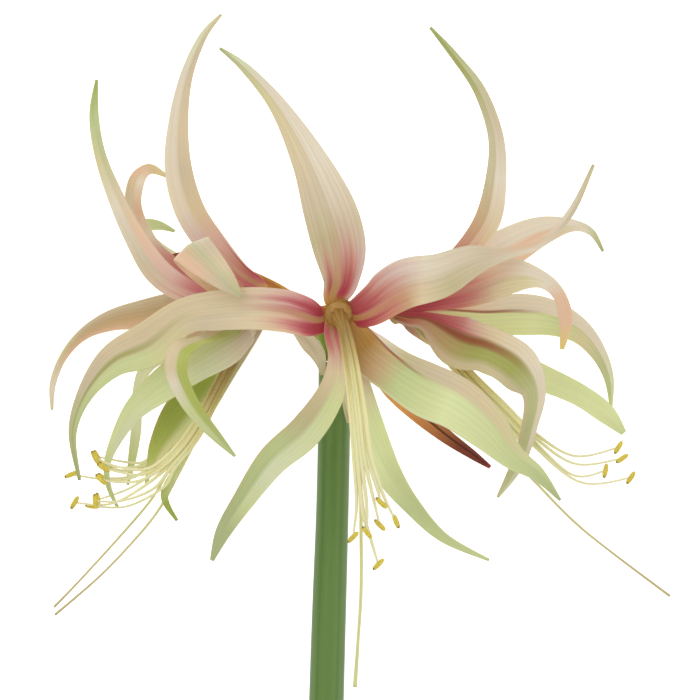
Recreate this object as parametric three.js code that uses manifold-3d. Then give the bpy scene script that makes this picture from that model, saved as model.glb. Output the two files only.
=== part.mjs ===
// One cut amaryllis stem with four open spider blooms, lying down.
// Every blossom has six narrow petals, six stamens, a style and a stalk that ends in the green ovary.
//
// The flower is drawn round the umbel, the point on top of the stem where the four stalks begin:
// x goes across, y up along the stem towards the blooms, z forward to whoever looks into the front bloom.
// At the end it is all tipped back, so the stem slopes from its cut end on the surface up to the umbel,
// and two petals at the back of the head touch the surface. Sizes are in millimetres.

import * as THREE from 'three';
import Module from 'manifold-3d';
import { mergeVertices } from 'three/addons/utils/BufferGeometryUtils.js';

const wasm = await Module();
wasm.setup();

// Driving dimensions.
const stemLength = 400;
const stemTopRadius = 6.8;
const stemEndRadius = 7.8;
const stemLean = -10.5; // how far the cut end lies to the left of the umbel
const stemSlope = THREE.MathUtils.degToRad(8.25);

const seat = 0.35; // the gap between pieces that touch
const coreRadius = 4.4; // the solid middle of a blossom, where petals and stamens meet
const rootCircle = 5.3; // petals spring from this circle round the core
const rootWidth = 4.2;
const edgeThickness = 0.7;
const ribThickness = 1.2;
const bladeStations = 16;

const stalkRadius = 2.4;
const ovaryRadius = 4.3;
const filamentRadius = 0.62;
const filamentSpacing = 1.35;
const filamentStagger = 0.7; // every other filament lies this far in front of the middle, the rest behind
const antherLength = 6.4;
const antherRadius = 1.15;
const styleRadius = 0.6;
const stamenRing = 2.55; // the circle that the six filaments stand on
const stamenRingThickness = 0.75;

const forward = new THREE.Vector3(0, 0, 1);

const flower = new THREE.Group();

// Materials.
const finish = (color, roughness = 0.55) =>
  new THREE.MeshStandardMaterial({ color, roughness, metalness: 0, side: THREE.DoubleSide });
const petalCream = finish(0xded0b2);
const petalBlush = finish(0xd9b09a);
const petalGreen = finish(0xb9c487);
const stemGreen = finish(0x5f873e, 0.45);
const stalkGreen = finish(0x6e9623, 0.5);
const bractBrown = finish(0x8f5a35, 0.7);
const bractPaper = finish(0xd8cfae, 0.8);
const stamenYellow = finish(0xe8e0a4, 0.6);
const styleGreen = finish(0xb7c06e, 0.5);

function add(name, geometry, material) {
  const mesh = new THREE.Mesh(geometry, material);
  mesh.name = name;
  flower.add(mesh);
}

// Joins closed rings of points into one closed skin. flatEnds gives each end as strips
// between the two sides of a flat section instead of as a fan.
function loft(rings, flatEnds = false) {
  const around = rings[0].length;
  const points = rings.flat();
  const faces = [];
  for (let i = 0; i + 1 < rings.length; i++) {
    for (let j = 0; j < around; j++) {
      const k = (j + 1) % around;
      const [a, b] = [i * around + j, i * around + k];
      const [c, d] = [a + around, b + around];
      if (flatEnds && j >= around / 2) {
        faces.push([a, b, c], [b, d, c]);
      } else {
        faces.push([a, b, d], [a, d, c]);
      }
    }
  }
  const last = (rings.length - 1) * around;
  if (flatEnds) {
    for (let j = 0; j + 1 < around / 2; j++) {
      const [p, q] = [around - 1 - j, around - 2 - j];
      faces.push([j, q, j + 1], [j, p, q]);
      faces.push([last + j, last + j + 1, last + q], [last + j, last + q, last + p]);
    }
  } else {
    for (let j = 1; j + 1 < around; j++) {
      faces.push([0, j + 1, j], [last, last + j, last + j + 1]);
    }
  }
  const geometry = new THREE.BufferGeometry();
  geometry.setAttribute('position', new THREE.Float32BufferAttribute(points.flatMap((p) => p.toArray()), 3));
  geometry.setIndex(faces.flat());
  return geometry;
}

// Smooth values between rows of numbers: row 0 at t = 0, row 1 at t = 1 and so on.
function between(rows, t) {
  const i = Math.min(Math.floor(t), rows.length - 2);
  const f = t - i;
  const row = (n) => rows[Math.max(0, Math.min(rows.length - 1, n))];
  return rows[0].map((_, k) => {
    const [a, b, c, d] = [row(i - 1)[k], row(i)[k], row(i + 1)[k], row(i + 2)[k]];
    return b + 0.5 * f * (c - a + f * (2 * a - 5 * b + 4 * c - d + f * (3 * (b - c) + d - a)));
  });
}

function pointAt(rows, t) {
  return new THREE.Vector3(...between(rows, t).slice(0, 3));
}

function directionAt(rows, t) {
  const end = rows.length - 1;
  const ahead = pointAt(rows, Math.min(end, t + 0.02));
  return ahead.sub(pointAt(rows, Math.max(0, t - 0.02))).normalize();
}

// A petal or bract. Each row is [x, y, z, width, turn]: where its middle line runs, how wide it is
// and by how many degrees it is turned about that line from facing forward.
// cup lifts both edges, wave ripples them and rootSide is the way across at its root. A blade that is
// folded over has the same way across from end to end, given as fold.
function blade(rows, { cup = 0.22, wave = 0, rootSide = null, fold = null } = {}) {
  const columns = [-1, -0.5, 0, 0.5, 1];
  const rings = [];
  for (let i = 0; i < bladeStations; i++) {
    const share = i / (bladeStations - 1);
    const t = share * (rows.length - 1);
    const [x, y, z, width, turn] = between(rows, t);
    const along = directionAt(rows, t);
    const side = fold ? new THREE.Vector3(...fold) : along.clone().cross(forward).normalize();
    side.addScaledVector(along, -side.dot(along)).normalize();
    side.applyAxisAngle(along, -THREE.MathUtils.degToRad(turn));
    if (rootSide) {
      const towards = rootSide.clone().multiplyScalar(Math.sign(rootSide.dot(side)) || 1);
      side.lerp(towards, 1 - THREE.MathUtils.smoothstep(t, 0, 1.6));
      side.addScaledVector(along, -side.dot(along)).normalize();
    }
    const face = side.clone().cross(along);
    const middle = new THREE.Vector3(x, y, z);
    const front = [];
    const back = [];
    for (const column of columns) {
      const ripple = wave * Math.sin(share * 19 + column) * Math.sin(share * Math.PI) * column ** 2;
      const lift = cup * (width / 2) * Math.abs(column) ** 1.4 + ripple;
      const thickness = THREE.MathUtils.lerp(ribThickness, edgeThickness, Math.abs(column) ** 0.7);
      const place = middle.clone().addScaledVector(side, (column * width) / 2).addScaledVector(face, lift);
      front.push(place.clone().addScaledVector(face, thickness / 2));
      back.unshift(place.clone().addScaledVector(face, -thickness / 2));
    }
    rings.push([...front, ...back]);
  }
  return loft(rings, true);
}

// A round solid along a line. Each row is [x, y, z, radius].
function limb(rows, { sides = 8, stations = 12 } = {}) {
  const rings = [];
  let side = null;
  for (let i = 0; i < stations; i++) {
    const t = (i / (stations - 1)) * (rows.length - 1);
    const [x, y, z, radius] = between(rows, t);
    const along = directionAt(rows, t);
    side = side ?? along.clone().cross(Math.abs(along.z) < 0.8 ? forward : new THREE.Vector3(1, 0, 0));
    side.addScaledVector(along, -side.dot(along)).normalize();
    const up = along.clone().cross(side);
    const middle = new THREE.Vector3(x, y, z);
    rings.push(
      Array.from({ length: sides }, (_, j) => {
        const angle = (j / sides) * 2 * Math.PI;
        return middle
          .clone()
          .addScaledVector(side, radius * Math.cos(angle))
          .addScaledVector(up, radius * Math.sin(angle));
      }),
    );
  }
  return loft(rings);
}

function toSolid(geometry) {
  const bare = geometry.clone();
  bare.deleteAttribute('normal');
  bare.deleteAttribute('uv');
  const merged = mergeVertices(bare, 1e-4);
  return new wasm.Manifold(
    new wasm.Mesh({
      numProp: 3,
      vertProperties: new Float32Array(merged.attributes.position.array),
      triVerts: new Uint32Array(merged.index.array),
    }),
  );
}

function toGeometry(solid) {
  const mesh = solid.getMesh();
  const geometry = new THREE.BufferGeometry();
  geometry.setAttribute('position', new THREE.BufferAttribute(new Float32Array(mesh.vertProperties), 3));
  geometry.setIndex(new THREE.BufferAttribute(new Uint32Array(mesh.triVerts), 1));
  return geometry;
}

// The axes of a blossom: faces is the way it looks, near and up lie across it.
function axesOf(faces) {
  const axis = new THREE.Vector3(...faces).normalize();
  const up = new THREE.Vector3(0, 1, 0).addScaledVector(axis, -axis.y).normalize();
  return { axis, up, across: up.clone().cross(axis) };
}

// A stalk from the umbel, the ovary on it and the core of the blossom, as one grown piece.
function stalk(name, route, throat, faces) {
  const { axis } = axesOf(faces);
  const behind = (distance) => new THREE.Vector3(...throat).addScaledVector(axis, -distance).toArray();
  const rows = [
    ...route.map((point) => [...point, stalkRadius]),
    [...behind(15), ovaryRadius * 0.75],
    [...behind(11), ovaryRadius],
    [...behind(7), ovaryRadius * 0.8],
    [...behind(3), coreRadius * 0.8],
    [...behind(0), coreRadius],
  ];
  add(name, limb(rows, { sides: 10, stations: 15 }), stalkGreen);
}

// Petals with their roots on a circle round the core. Each petal is given as [name, angle of its root,
// rows, options]; its first point is worked out from the angle.
function petals(bloom, throat, faces, list) {
  const { axis, up, across } = axesOf(faces);
  for (const [name, angle, rows, options = {}] of list) {
    const turn = THREE.MathUtils.degToRad(angle);
    const outward = across.clone().multiplyScalar(Math.cos(turn)).addScaledVector(up, Math.sin(turn));
    const root = new THREE.Vector3(...throat).addScaledVector(outward, rootCircle).addScaledVector(axis, -0.6);
    const rootSide = outward.clone().cross(axis);
    const { material = petalCream, ...shape } = options;
    const line = [[...root.toArray(), rootWidth, 0], ...rows];
    add(`${bloom}_petal_${name}`, blade(line, { rootSide, ...shape }), material);
  }
}

// Six filaments on a small ring, each with an anther across its end. bundle is the line that they follow
// together and ends holds, for each, the points where it goes on alone and the way its anther points.
function stamens(bloom, throat, faces, bundle, ends, spacing = filamentSpacing) {
  const { axis, up, across } = axesOf(faces);
  const foot = new THREE.Vector3(...throat).addScaledVector(axis, seat + stamenRingThickness);
  const profile = Array.from({ length: 7 }, (_, i) => {
    const angle = (i / 6) * 2 * Math.PI;
    return new THREE.Vector2(
      stamenRing + stamenRingThickness * Math.cos(angle),
      stamenRingThickness * Math.sin(angle),
    );
  });
  const ring = new THREE.LatheGeometry(profile, 12);
  const stand = new THREE.Matrix4().makeBasis(across, axis, across.clone().cross(axis));
  ring.applyMatrix4(stand.setPosition(foot));
  let solid = toSolid(ring);
  const sideways = directionAt(bundle, 0).cross(forward).normalize();
  const outwards = ends.map((_, i) => {
    const angle = THREE.MathUtils.degToRad(-30 + 48 * i);
    return across.clone().multiplyScalar(Math.cos(angle)).addScaledVector(up, Math.sin(angle));
  });
  outwards.sort((a, b) => a.dot(sideways) - b.dot(sideways));
  ends.forEach(([alone, pointing], i) => {
    const outward = outwards[i];
    const root = foot.clone().addScaledVector(outward, stamenRing);
    const rise = root.clone().addScaledVector(axis, 6).addScaledVector(outward, 0.4);
    const shift = (i - (ends.length - 1) / 2) * spacing;
    const beside = bundle.map((point, n) => {
      const along = directionAt(bundle, n);
      const step = along.clone().cross(forward).normalize().multiplyScalar(shift * (n ? 1 : 0.75));
      step.z += filamentStagger * Math.sign(outward.z);
      return new THREE.Vector3(...point).add(step);
    });
    const line = [root, rise, ...beside, ...alone.map((point) => new THREE.Vector3(...point))];
    const rows = line.map((point) => [...point.toArray(), filamentRadius]);
    solid = solid.add(toSolid(limb(rows, { sides: 5, stations: line.length + 3 })));
    const tip = line[line.length - 1];
    const anther = new THREE.SphereGeometry(1, 6, 4);
    anther.scale(antherRadius, antherLength / 2, antherRadius);
    const swing = new THREE.Quaternion().setFromUnitVectors(
      new THREE.Vector3(0, 1, 0),
      new THREE.Vector3(...pointing).normalize(),
    );
    anther.applyQuaternion(swing).translate(...tip.toArray());
    solid = solid.add(toSolid(anther));
  });
  add(`${bloom}_stamens`, toGeometry(solid), stamenYellow);
}

// The style stands in the middle of the stamens' ring and ends in a small stigma.
function style(bloom, throat, faces, route) {
  const { axis } = axesOf(faces);
  const foot = new THREE.Vector3(...throat).addScaledVector(axis, seat);
  const rise = foot.clone().addScaledVector(axis, 3);
  const line = [foot.toArray(), rise.toArray(), ...route];
  const rows = line.map((point, i) => [...point, i + 1 < line.length ? styleRadius : styleRadius * 1.6]);
  add(`${bloom}_style`, limb(rows, { sides: 6, stations: 2 * line.length }), styleGreen);
}

// The stem, cut off at its lower end and flat on top, where the four stalks stand.
function stem() {
  const shapes = limb(
    [
      [stemLean, -stemLength, 0, stemEndRadius],
      [-3.6, -142, 0, (stemTopRadius + stemEndRadius) / 2],
      [-1, -58, 0, stemTopRadius],
      [0, 0, 0, stemTopRadius],
    ],
    { sides: 20, stations: 10 },
  );
  add('stem', shapes, stemGreen);
}

stem();

// Front bloom.
const frontThroat = [1.8, 19.9, 48];
const frontFaces = [0.02, -0.3, 0.95];
stalk(
  'front_stalk_and_ovary',
  [[0.3, 0.7, 3.7], [0.3, 6.5, 4.8], [0.6, 13, 11.5], [1, 20, 21.5]],
  frontThroat,
  frontFaces,
);
petals('front', frontThroat, frontFaces, [
  ['up', 92, [[0.3, 27, 53, 7, 0], [2.6, 34, 57, 14.5, 0], [2, 47, 62, 21.5, 0], [-2.3, 63, 65, 21.5, 0],
    [-10.5, 83, 63, 14.5, 0], [-23, 105, 55, 7.5, 0], [-36.5, 121, 43, 4.2, 0], [-47.6, 130.2, 30, 1.2, 0]]],
  ['left', 170, [[-6.5, 19, 51, 8.5, 0], [-14.5, 20.3, 55, 16.5, 0], [-30, 22, 59, 17.5, 0],
    [-46, 21.5, 56, 16.8, 0], [-62.5, 18.6, 46.5, 15, 0], [-77, 7.5, 39, 18.5, 0], [-92, 0.5, 34, 13.4, 0],
    [-103.5, -13, 28, 7, 0], [-109.2, -29.5, 22, 3.4, 0], [-106.6, -49.2, 15, 1.4, 0]]],
  ['right', 18, [[8.8, 21.6, 52, 8.5, 0], [17, 25.2, 56, 16.5, 0], [29, 32.2, 59, 20.3, 0], [43, 35.4, 57, 18.2, 0],
    [56.5, 41.7, 50, 13, 0], [69.5, 44.7, 43, 5.5, 0], [85, 49.2, 35, 3.8, 0], [98, 62.2, 26, 3.2, 0],
    [107.9, 82.2, 16, 1.4, 0]], { wave: 1.1 }],
  ['low_left', 226, [[-1, 11, 52, 6, 0], [1, 1, 58, 7.6, 0], [-1.7, -13, 62, 11.4, 0],
    [-12, -28.3, 62, 14, 0], [-25.7, -40.5, 58, 12.5, 0], [-37.7, -57, 50, 9, 0], [-46, -70, 40, 6.4, 0],
    [-51, -82.2, 28, 1.8, 0]]],
  ['low_right', 328, [[7.6, 14.6, 50.5, 7, 0], [13, 5, 55, 17, 0], [24.9, -3.9, 59, 18.8, 0],
    [37.8, -11.4, 60, 22.4, 0], [50, -17, 58, 21.5, 0], [62, -26.6, 52, 18, 0], [73, -38.7, 45, 10.5, 0],
    [84, -46.3, 36, 6, 0], [93.6, -57.3, 26, 1.2, 0]]],
  ['down', 276, [[3.6, 11, 46, 4.6, 0], [6.7, -0.5, 48, 10, 0], [10.4, -15.5, 50, 12.5, 0],
    [15.4, -31, 49, 13, 0], [22.2, -46, 46, 11, 0], [31.4, -58.8, 42, 7.5, 0], [45, -72.6, 35, 4.2, 0],
    [64, -82.2, 28, 1.2, 0]], { material: petalGreen }],
]);
const frontBundle = [[4, 13, 63], [6.8, -1, 76], [9.3, -19.3, 82], [11.2, -37.6, 84]];
stamens('front', frontThroat, frontFaces, frontBundle, [
  [[[19.5, -53, 84.5], [25, -64.5, 84]], [-0.4, 1, 0]],
  [[[17, -50, 85], [19, -57, 85]], [1, -1, 0]],
  [[[15, -52, 84], [18.4, -66, 84]], [1, -1, 0]],
  [[[13, -57, 84.5], [13.2, -69, 84]], [0.8, -1, 0]],
  [[[11.5, -60, 83.5], [14.8, -72, 83.5], [17.8, -82, 83]], [1, 1, 0]],
  [[[9, -57, 83], [7.5, -71, 82.5]], [1, 1, 0]],
]);
style('front', frontThroat, frontFaces, [
  [3.4, 9.5, 58.5], [6, -2, 67], [8.7, -23.5, 74], [10.4, -48, 76],
  [10.8, -68, 76], [10.8, -93, 76], [9.6, -113, 76], [8.3, -132.2, 76],
]);

// Right bloom.
const rightThroat = [25.6, 22.6, 6];
const rightFaces = [0.93, -0.08, 0.36];
stalk('right_stalk_and_ovary', [[3.7, 0.4, 0], [3.8, 8, -0.3], [7.5, 18.5, -1]], rightThroat, rightFaces);
petals('right', rightThroat, rightFaces, [
  ['up', 88, [[30.5, 31, 8, 7, -75], [39, 36, 8, 11, -60], [52.8, 46.6, 6, 14, -50], [62.6, 59.6, 3, 16, -45],
    [66.3, 75.6, -1, 15, -52], [66.7, 94.3, -5, 12, -55], [60.5, 113.8, -9, 8.5, -50], [50.4, 128.6, -12, 5, -45],
    [40.2, 141.2, -14, 1.4, -30]]],
  ['back', 28, [[31, 28, -4.5, 6.5, 0], [40, 30, -11, 11, 0], [55, 37.7, -24, 16, 0], [72.4, 48, -38, 17, 0],
    [87.7, 55.8, -50, 12.5, 0], [101.3, 58.6, -60, 5.6, 0], [110.3, 55.9, -67, 3.1, 0], [115.6, 47.8, -72.2, 1.2, 0]],
    { material: petalBlush }],
  ['near', 148, [[31, 25, 13, 7, 0], [42, 27, 22, 11, 0], [58, 31, 29, 15, 0], [72.6, 35.7, 33, 15, 0],
    [85.2, 34.4, 33, 7.4, 0], [93, 28, 29, 5.4, 0], [96, 17.5, 24, 5.7, 0], [94.7, 5.5, 18, 1.8, 0]],
    { material: petalBlush }],
  ['middle', 328, [[32, 21, -2, 6, 0], [44, 20, -5, 10, 0], [61, 19, -8, 15, 0], [78, 20, -9, 17.5, 0],
    [91.5, 18.5, -10, 15, 0], [103, 13, -11, 10.5, 0], [111, 4, -13, 7, 0], [115.7, -7, -15, 4.2, 0],
    [116.7, -19.5, -17, 1.2, 0]]],
  ['claw', 208, [[30.5, 18, 14, 6.5, 0], [38.5, 16.6, 20, 8.6, 0], [51.3, 8.5, 29, 21.5, 0], [64, 5, 35, 19, 0],
    [75.5, -2, 37, 19, 0], [83, -13, 35, 14, -45], [81.4, -27.3, 29, 10, -50], [76.7, -41.6, 22, 6.5, -30],
    [68, -56.4, 14, 1.2, 0]]],
  ['low', 268, [[31, 16, 4, 6, 0], [41.5, 11, 2, 9, 0], [55.6, 5, 0, 12.5, 0], [71.5, -0.8, -3, 14, 0],
    [88.4, -7.2, -7, 11, 0], [103, -13.9, -10, 9.4, 0], [114.1, -21.7, -13, 8.4, 0], [122, -30, -16, 2.6, 0]],
    { material: petalGreen }],
]);
const rightBundle = [[42, 9, 13], [55, -5.4, 17], [68.6, -19.4, 18], [81, -32, 18]];
stamens('right', rightThroat, rightFaces, rightBundle, [
  [[[100, -39.2, 18], [118.2, -35.6, 18]], [0.6, 1, 0]],
  [[[100, -42.4, 18], [119.8, -40.2, 18]], [1, 0.7, 0]],
  [[[99, -47, 18], [112.8, -45.3, 18]], [0.2, 1, 0]],
  [[[102, -50, 18], [123.4, -48.2, 18]], [0.6, 0.9, 0]],
  [[[79.5, -37.5, 16.5], [76.2, -44, 16]], [0.5, 0.86, 0]],
  [[[80, -40, 17]], [0.6, -1, 0]],
]);
style('right', rightThroat, rightFaces, [
  [35, 13.2, 6], [47, 0, 9], [61.6, -21, 12], [77.4, -43, 12],
  [85.7, -52.2, 12], [100.3, -67, 12], [115, -79, 12], [140, -97.8, 12],
]);

// Left bloom.
const leftThroat = [-30.5, 22.6, 12];
const leftFaces = [-0.86, -0.1, 0.5];
stalk('left_stalk_and_ovary', [[-3.7, 0.5, 0], [-3.9, 8, 0.2], [-9.5, 19, 2]], leftThroat, leftFaces);
petals('left', leftThroat, leftFaces, [
  ['up', 120, [[-37, 28.5, 12, 6.5, 70], [-46, 27.5, 16, 9, 50], [-60.4, 30, 18, 13, 40], [-73, 38.4, 17, 15, 40],
    [-82.7, 52.7, 14, 12.5, 42], [-91.2, 69.5, 10, 9.5, 42], [-98, 87, 5, 6.5, 40], [-101, 103.7, 0, 4.5, 25],
    [-100.3, 118.6, -4, 1.2, 0]]],
  ['near', 60, [[-35.5, 27.5, 20, 6.5, 0], [-40.5, 28, 29, 9, 0], [-47, 33, 41, 12, 0], [-55, 41, 50, 15, 0],
    [-59.5, 47, 55.5, 17, 0], [-59, 47.5, 60.5, 16.5, 0], [-54, 42.5, 64.5, 14.5, 0], [-48.3, 37, 67, 11.5, 0],
    [-43, 31.8, 68, 7.5, 0], [-38, 26.6, 68, 1.2, 0]], { fold: [0.84, 0.54, 0], material: petalBlush }],
  ['claw', 0, [[-35.5, 20, 25, 6.5, 0], [-43.4, 15, 35, 8, 0], [-51, 10.2, 44, 7, -40], [-57.5, 7.8, 51.5, 7, -50],
    [-63.2, 5, 56, 9, -15], [-65, -0.8, 57, 9.5, 0], [-64.4, -6.5, 55, 8.5, 0], [-60.4, -15.5, 49, 7.5, 0], [-54.4, -24.3, 42, 6, 0],
    [-48, -31.8, 35, 4, 0], [-41.5, -39, 28, 1.2, 0]]],
  ['broad', 300, [[-36, 14.5, 19, 8, 0], [-40, 11, 23, 13, 0], [-47, 6.5, 27, 18, 0], [-59.5, -1.2, 27, 15.5, 0],
    [-71.7, -9.6, 22, 13.6, 0], [-83.7, -19.9, 15, 9, 0], [-91.7, -32.6, 8, 5, 0], [-95.6, -43.2, 3, 2.8, 0],
    [-95, -52.5, 0, 2.2, 0], [-91.2, -61.4, -2, 1.2, 0]], { material: petalGreen }],
  ['down', 180, [[-37, 21, 3.8, 5.6, 0], [-40, 12.5, 2, 7.6, 0], [-46, 1.7, 0, 10, 0], [-56.4, -11.1, -2, 15.2, 0],
    [-66, -22.8, -4, 14.6, 0], [-74.1, -35.4, -6, 8.6, 0], [-78, -45.5, -7, 3, 0], [-79.7, -51.8, -8, 1.2, 0]],
    { material: petalGreen }],
  ['narrow', 240, [[-32.4, 14, 9.6, 4.2, 0], [-37, 6, 9.6, 4.4, 0], [-45, -7, 9, 4.4, 0], [-52.5, -20, 8.6, 4.2, 0],
    [-59.5, -32.5, 8.3, 3.8, 0], [-66, -44.5, 8.2, 3.4, 0], [-71.4, -56, 8.2, 3.2, 0], [-66.1, -66.4, 8.2, 1.2, 0]]],
]);
const leftBundle = [[-39.5, 8, 14], [-49.6, -12.3, 13], [-59, -30, 12.6], [-69, -42, 12]];
stamens('left', leftThroat, leftFaces, leftBundle, [
  [[[-72, -52.6, 11], [-87, -60.4, 8], [-101.6, -60.4, 6.5]], [1, -0.1, 0]],
  [[[-76, -53, 10.5], [-89, -58, 12.5], [-100.1, -58.1, 13.6]], [0.15, -1, 0]],
  [[[-80, -52, 10], [-94, -59.4, 9.8], [-108.9, -58.8, 10]], [0.5, 0.85, 0]],
  [[[-80, -49, 11], [-90, -50.3, 11], [-97.9, -49.1, 11]], [0.7, -0.7, 0]],
  [[[-80, -47, 10], [-90, -46, 12], [-96.8, -44.1, 12.5]], [0.85, -0.5, 0]],
  [[[-80, -45, 11], [-92, -43.5, 9], [-100.4, -39.9, 9]], [0.45, -0.9, 0]],
], 1.15);
style('left', leftThroat, leftFaces, [
  [-36.8, 12.5, 8.6], [-41, 1.7, 5.6], [-51.8, -20, 4.2], [-65.8, -47.2, 4.2],
  [-73.4, -61.2, 4.5], [-83, -73.4, 4.5], [-98.5, -89.7, 4.5], [-117.4, -106, 4.5],
]);

// Back bloom.
const backThroat = [-31, 25.4, -28];
const backFaces = [-0.8, 0.1, -0.6];
stalk('back_stalk_and_ovary', [[-0.3, 0.75, -3.8], [-0.8, 8, -5], [-6.5, 17, -10]], backThroat, backFaces);
petals('back', backThroat, backFaces, [
  ['up', 92, [[-34, 33.5, -27.5, 6, 0], [-41.2, 38.4, -22, 8.6, 0], [-51.4, 49, -14, 12, 0], [-60.9, 63.2, -9, 12.6, 0],
    [-65.9, 81, -6, 11.6, 0], [-66, 100, -6, 8.5, 0], [-62.8, 119.6, -7, 5.5, 0], [-56, 136.6, -9, 3.5, 0],
    [-48, 146.6, -11, 1.2, 0]]],
  ['curl', 30, [[-38.5, 28.6, -25.3, 5.8, 0], [-46, 30, -22.3, 7.5, 0], [-60.6, 34.8, -18, 9, 0], [-74.6, 45.2, -14, 8, 0],
    [-81.7, 55.9, -11, 7.2, 0], [-85, 66, -8, 7, 0], [-84, 75, -8, 7, 0], [-81.4, 79.7, -11, 5.5, 0],
    [-77.4, 81.5, -16, 4, 0], [-70.8, 78.3, -20, 1.2, 0]], { material: petalBlush }],
  ['left', 325, [[-38, 21.8, -26.2, 5.8, 0], [-51, 24, -26, 9, 0], [-65.8, 23.7, -24, 12, 0], [-80.5, 20.3, -21, 12.5, 0],
    [-94.4, 17.6, -18, 9, 0], [-106.2, 11.8, -15, 5.2, 0], [-114.6, 2.2, -12, 3.4, 0], [-119, -9.3, -10, 2.8, 0],
    [-119.3, -20.3, -9, 1.2, 0]]],
  ['low', 262, [[-35, 18, -35, 5.5, 0], [-45, 13, -39.5, 8.5, 0], [-62, 6.7, -40, 10, 0], [-75.6, 2.5, -38, 8, 0],
    [-82.3, -5.6, -36, 5, 0], [-84.4, -16.2, -34, 4.5, 0], [-84.7, -29, -31, 4.5, 0], [-86.3, -41.7, -28, 3.5, 0],
    [-88, -52.2, -26, 1.2, 0]], { material: petalGreen }],
  ['far', 148, [[-37, 30, -39, 6.2, 0], [-48, 32, -51, 12, 0], [-64.7, 37.3, -62.5, 14, 0],
    [-76, 45.5, -70.5, 10.5, 0], [-83.3, 53.4, -72.8, 8.4, 0], [-82, 58.6, -71, 6, 0], [-76, 58.8, -69, 3.9, 0],
    [-69.3, 56.3, -68, 1.2, 0]], { material: petalGreen }],
  ['hidden', 205, [[-34, 22, -41, 6, 0], [-38.7, 20.5, -50, 9, 0], [-44.4, 18.5, -57, 12, 0],
    [-51, 16.5, -60, 10, 0], [-56, 13.5, -60, 6, 0], [-59.8, 8.5, -56, 1.2, 0]], { material: petalGreen }],
]);
const backBundle = [[-44, 13, -27], [-55, -10, -17], [-67.6, -32, -14], [-77, -43, -14]];
stamens('back', backThroat, backFaces, backBundle, [
  [[[-86, -53, -14], [-100.2, -58.2, -14]], [0.15, -1, 0]],
  [[[-87, -48.5, -12], [-97.9, -49.1, -12]], [0.7, -0.7, 0]],
  [[[-90, -50, -16], [-111.6, -47.6, -17]], [1, 0.4, 0]],
  [[[-88, -46, -16], [-96.8, -44.2, -17]], [0.85, -0.5, 0]],
  [[[-86, -44.5, -13], [-96.6, -44, -11.5]], [0.85, -0.5, 0]],
  [[[-86, -42.5, -12], [-100.4, -40, -13]], [0.45, -0.9, 0]],
], 1.1);
style('back', backThroat, backFaces, [
  [-38, 14, -28], [-44, 1, -25], [-57.3, -21.2, -21.5], [-70.8, -46.5, -20],
  [-78.4, -59, -20], [-91.2, -74, -20], [-108, -92.4, -20], [-119, -103.8, -20],
]);

// The two halves of the dry sheath that held the bud, and two papery bracts between the stalks.
add('sheath_right', blade([[4.8, 1.5, -4.4, 2.6, 0], [9, 2.8, -5.4, 4.5, 0], [15, -3.5, -4.5, 9, 0],
  [23, -14, 4, 11, 0], [34.7, -22.4, 9, 9, 0], [46.2, -30.8, 10.5, 6, 0], [57, -38.4, 10, 4, 0],
  [65, -44, 8, 1.6, 0]], { cup: 0.3, wave: 0.6 }), bractBrown);
add('sheath_left', blade([[-4.4, 1.1, -4.6, 3.4, 0], [-6.5, 4, -10, 7, 0], [-10, 13, -25, 8.5, 0], [-14.6, 21.6, -36, 7.6, 0],
  [-23, 29.6, -43, 5.6, 0], [-36, 36.3, -46, 5, 0], [-51.4, 41.8, -46, 5, 0], [-63, 45.2, -45, 4, 0],
  [-71.5, 44.8, -44, 1.2, 0]], { cup: 0.3, wave: 0.6 }), bractBrown);
add('bract_left', blade([[-5.3, -5.5, 5.7, 1.6, 0], [-5.7, -1, 6.9, 4, 0], [-7.6, 4, 9.5, 6.5, 0],
  [-11.5, 8.5, 12.5, 7, 0], [-17.5, 13, 13.5, 1.2, 0]]), bractPaper);
add('bract_right', blade([[4.6, 1.1, 4.6, 2.2, 0], [5.4, 3.2, 7.2, 2.4, 0], [6.2, 2.8, 10.4, 2.8, 0],
  [6.2, -0.8, 12.6, 3.2, 0], [5.2, -6.5, 12.4, 3.6, 0], [4.4, -13, 11.2, 3.4, 0], [4.8, -19.5, 10.2, 2.6, 0],
  [5.5, -25.5, 9.8, 1, 0]]), bractPaper);

// Lay the flower down: the stem slopes and the lowest points touch the surface at height zero.
flower.rotation.x = stemSlope;
flower.updateMatrixWorld(true);
const extent = new THREE.Box3().setFromObject(flower, true);
flower.position.set(-(extent.min.x + extent.max.x) / 2, -(extent.min.y + extent.max.y) / 2, -extent.min.z);

const amaryllis = new THREE.Group();
amaryllis.add(flower);
export default amaryllis;
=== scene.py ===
# %% [markdown]
# # A cut amaryllis stem, dressed for its portrait
# The solid model of the flower is already made: a stem, four blooms of six petals each, their stamens
# and styles, and the dry sheath of the bud. Its faces are few and flat.
# Here every piece is drawn again as a fine smooth skin in the same place and gets the colours, veins
# and gloss of the living flower. All lengths of the flower are in millimetres until a piece is placed.

# %% Load the solid model
import math

import bmesh
import bpy
from mathutils import Matrix, Quaternion, Vector


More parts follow.
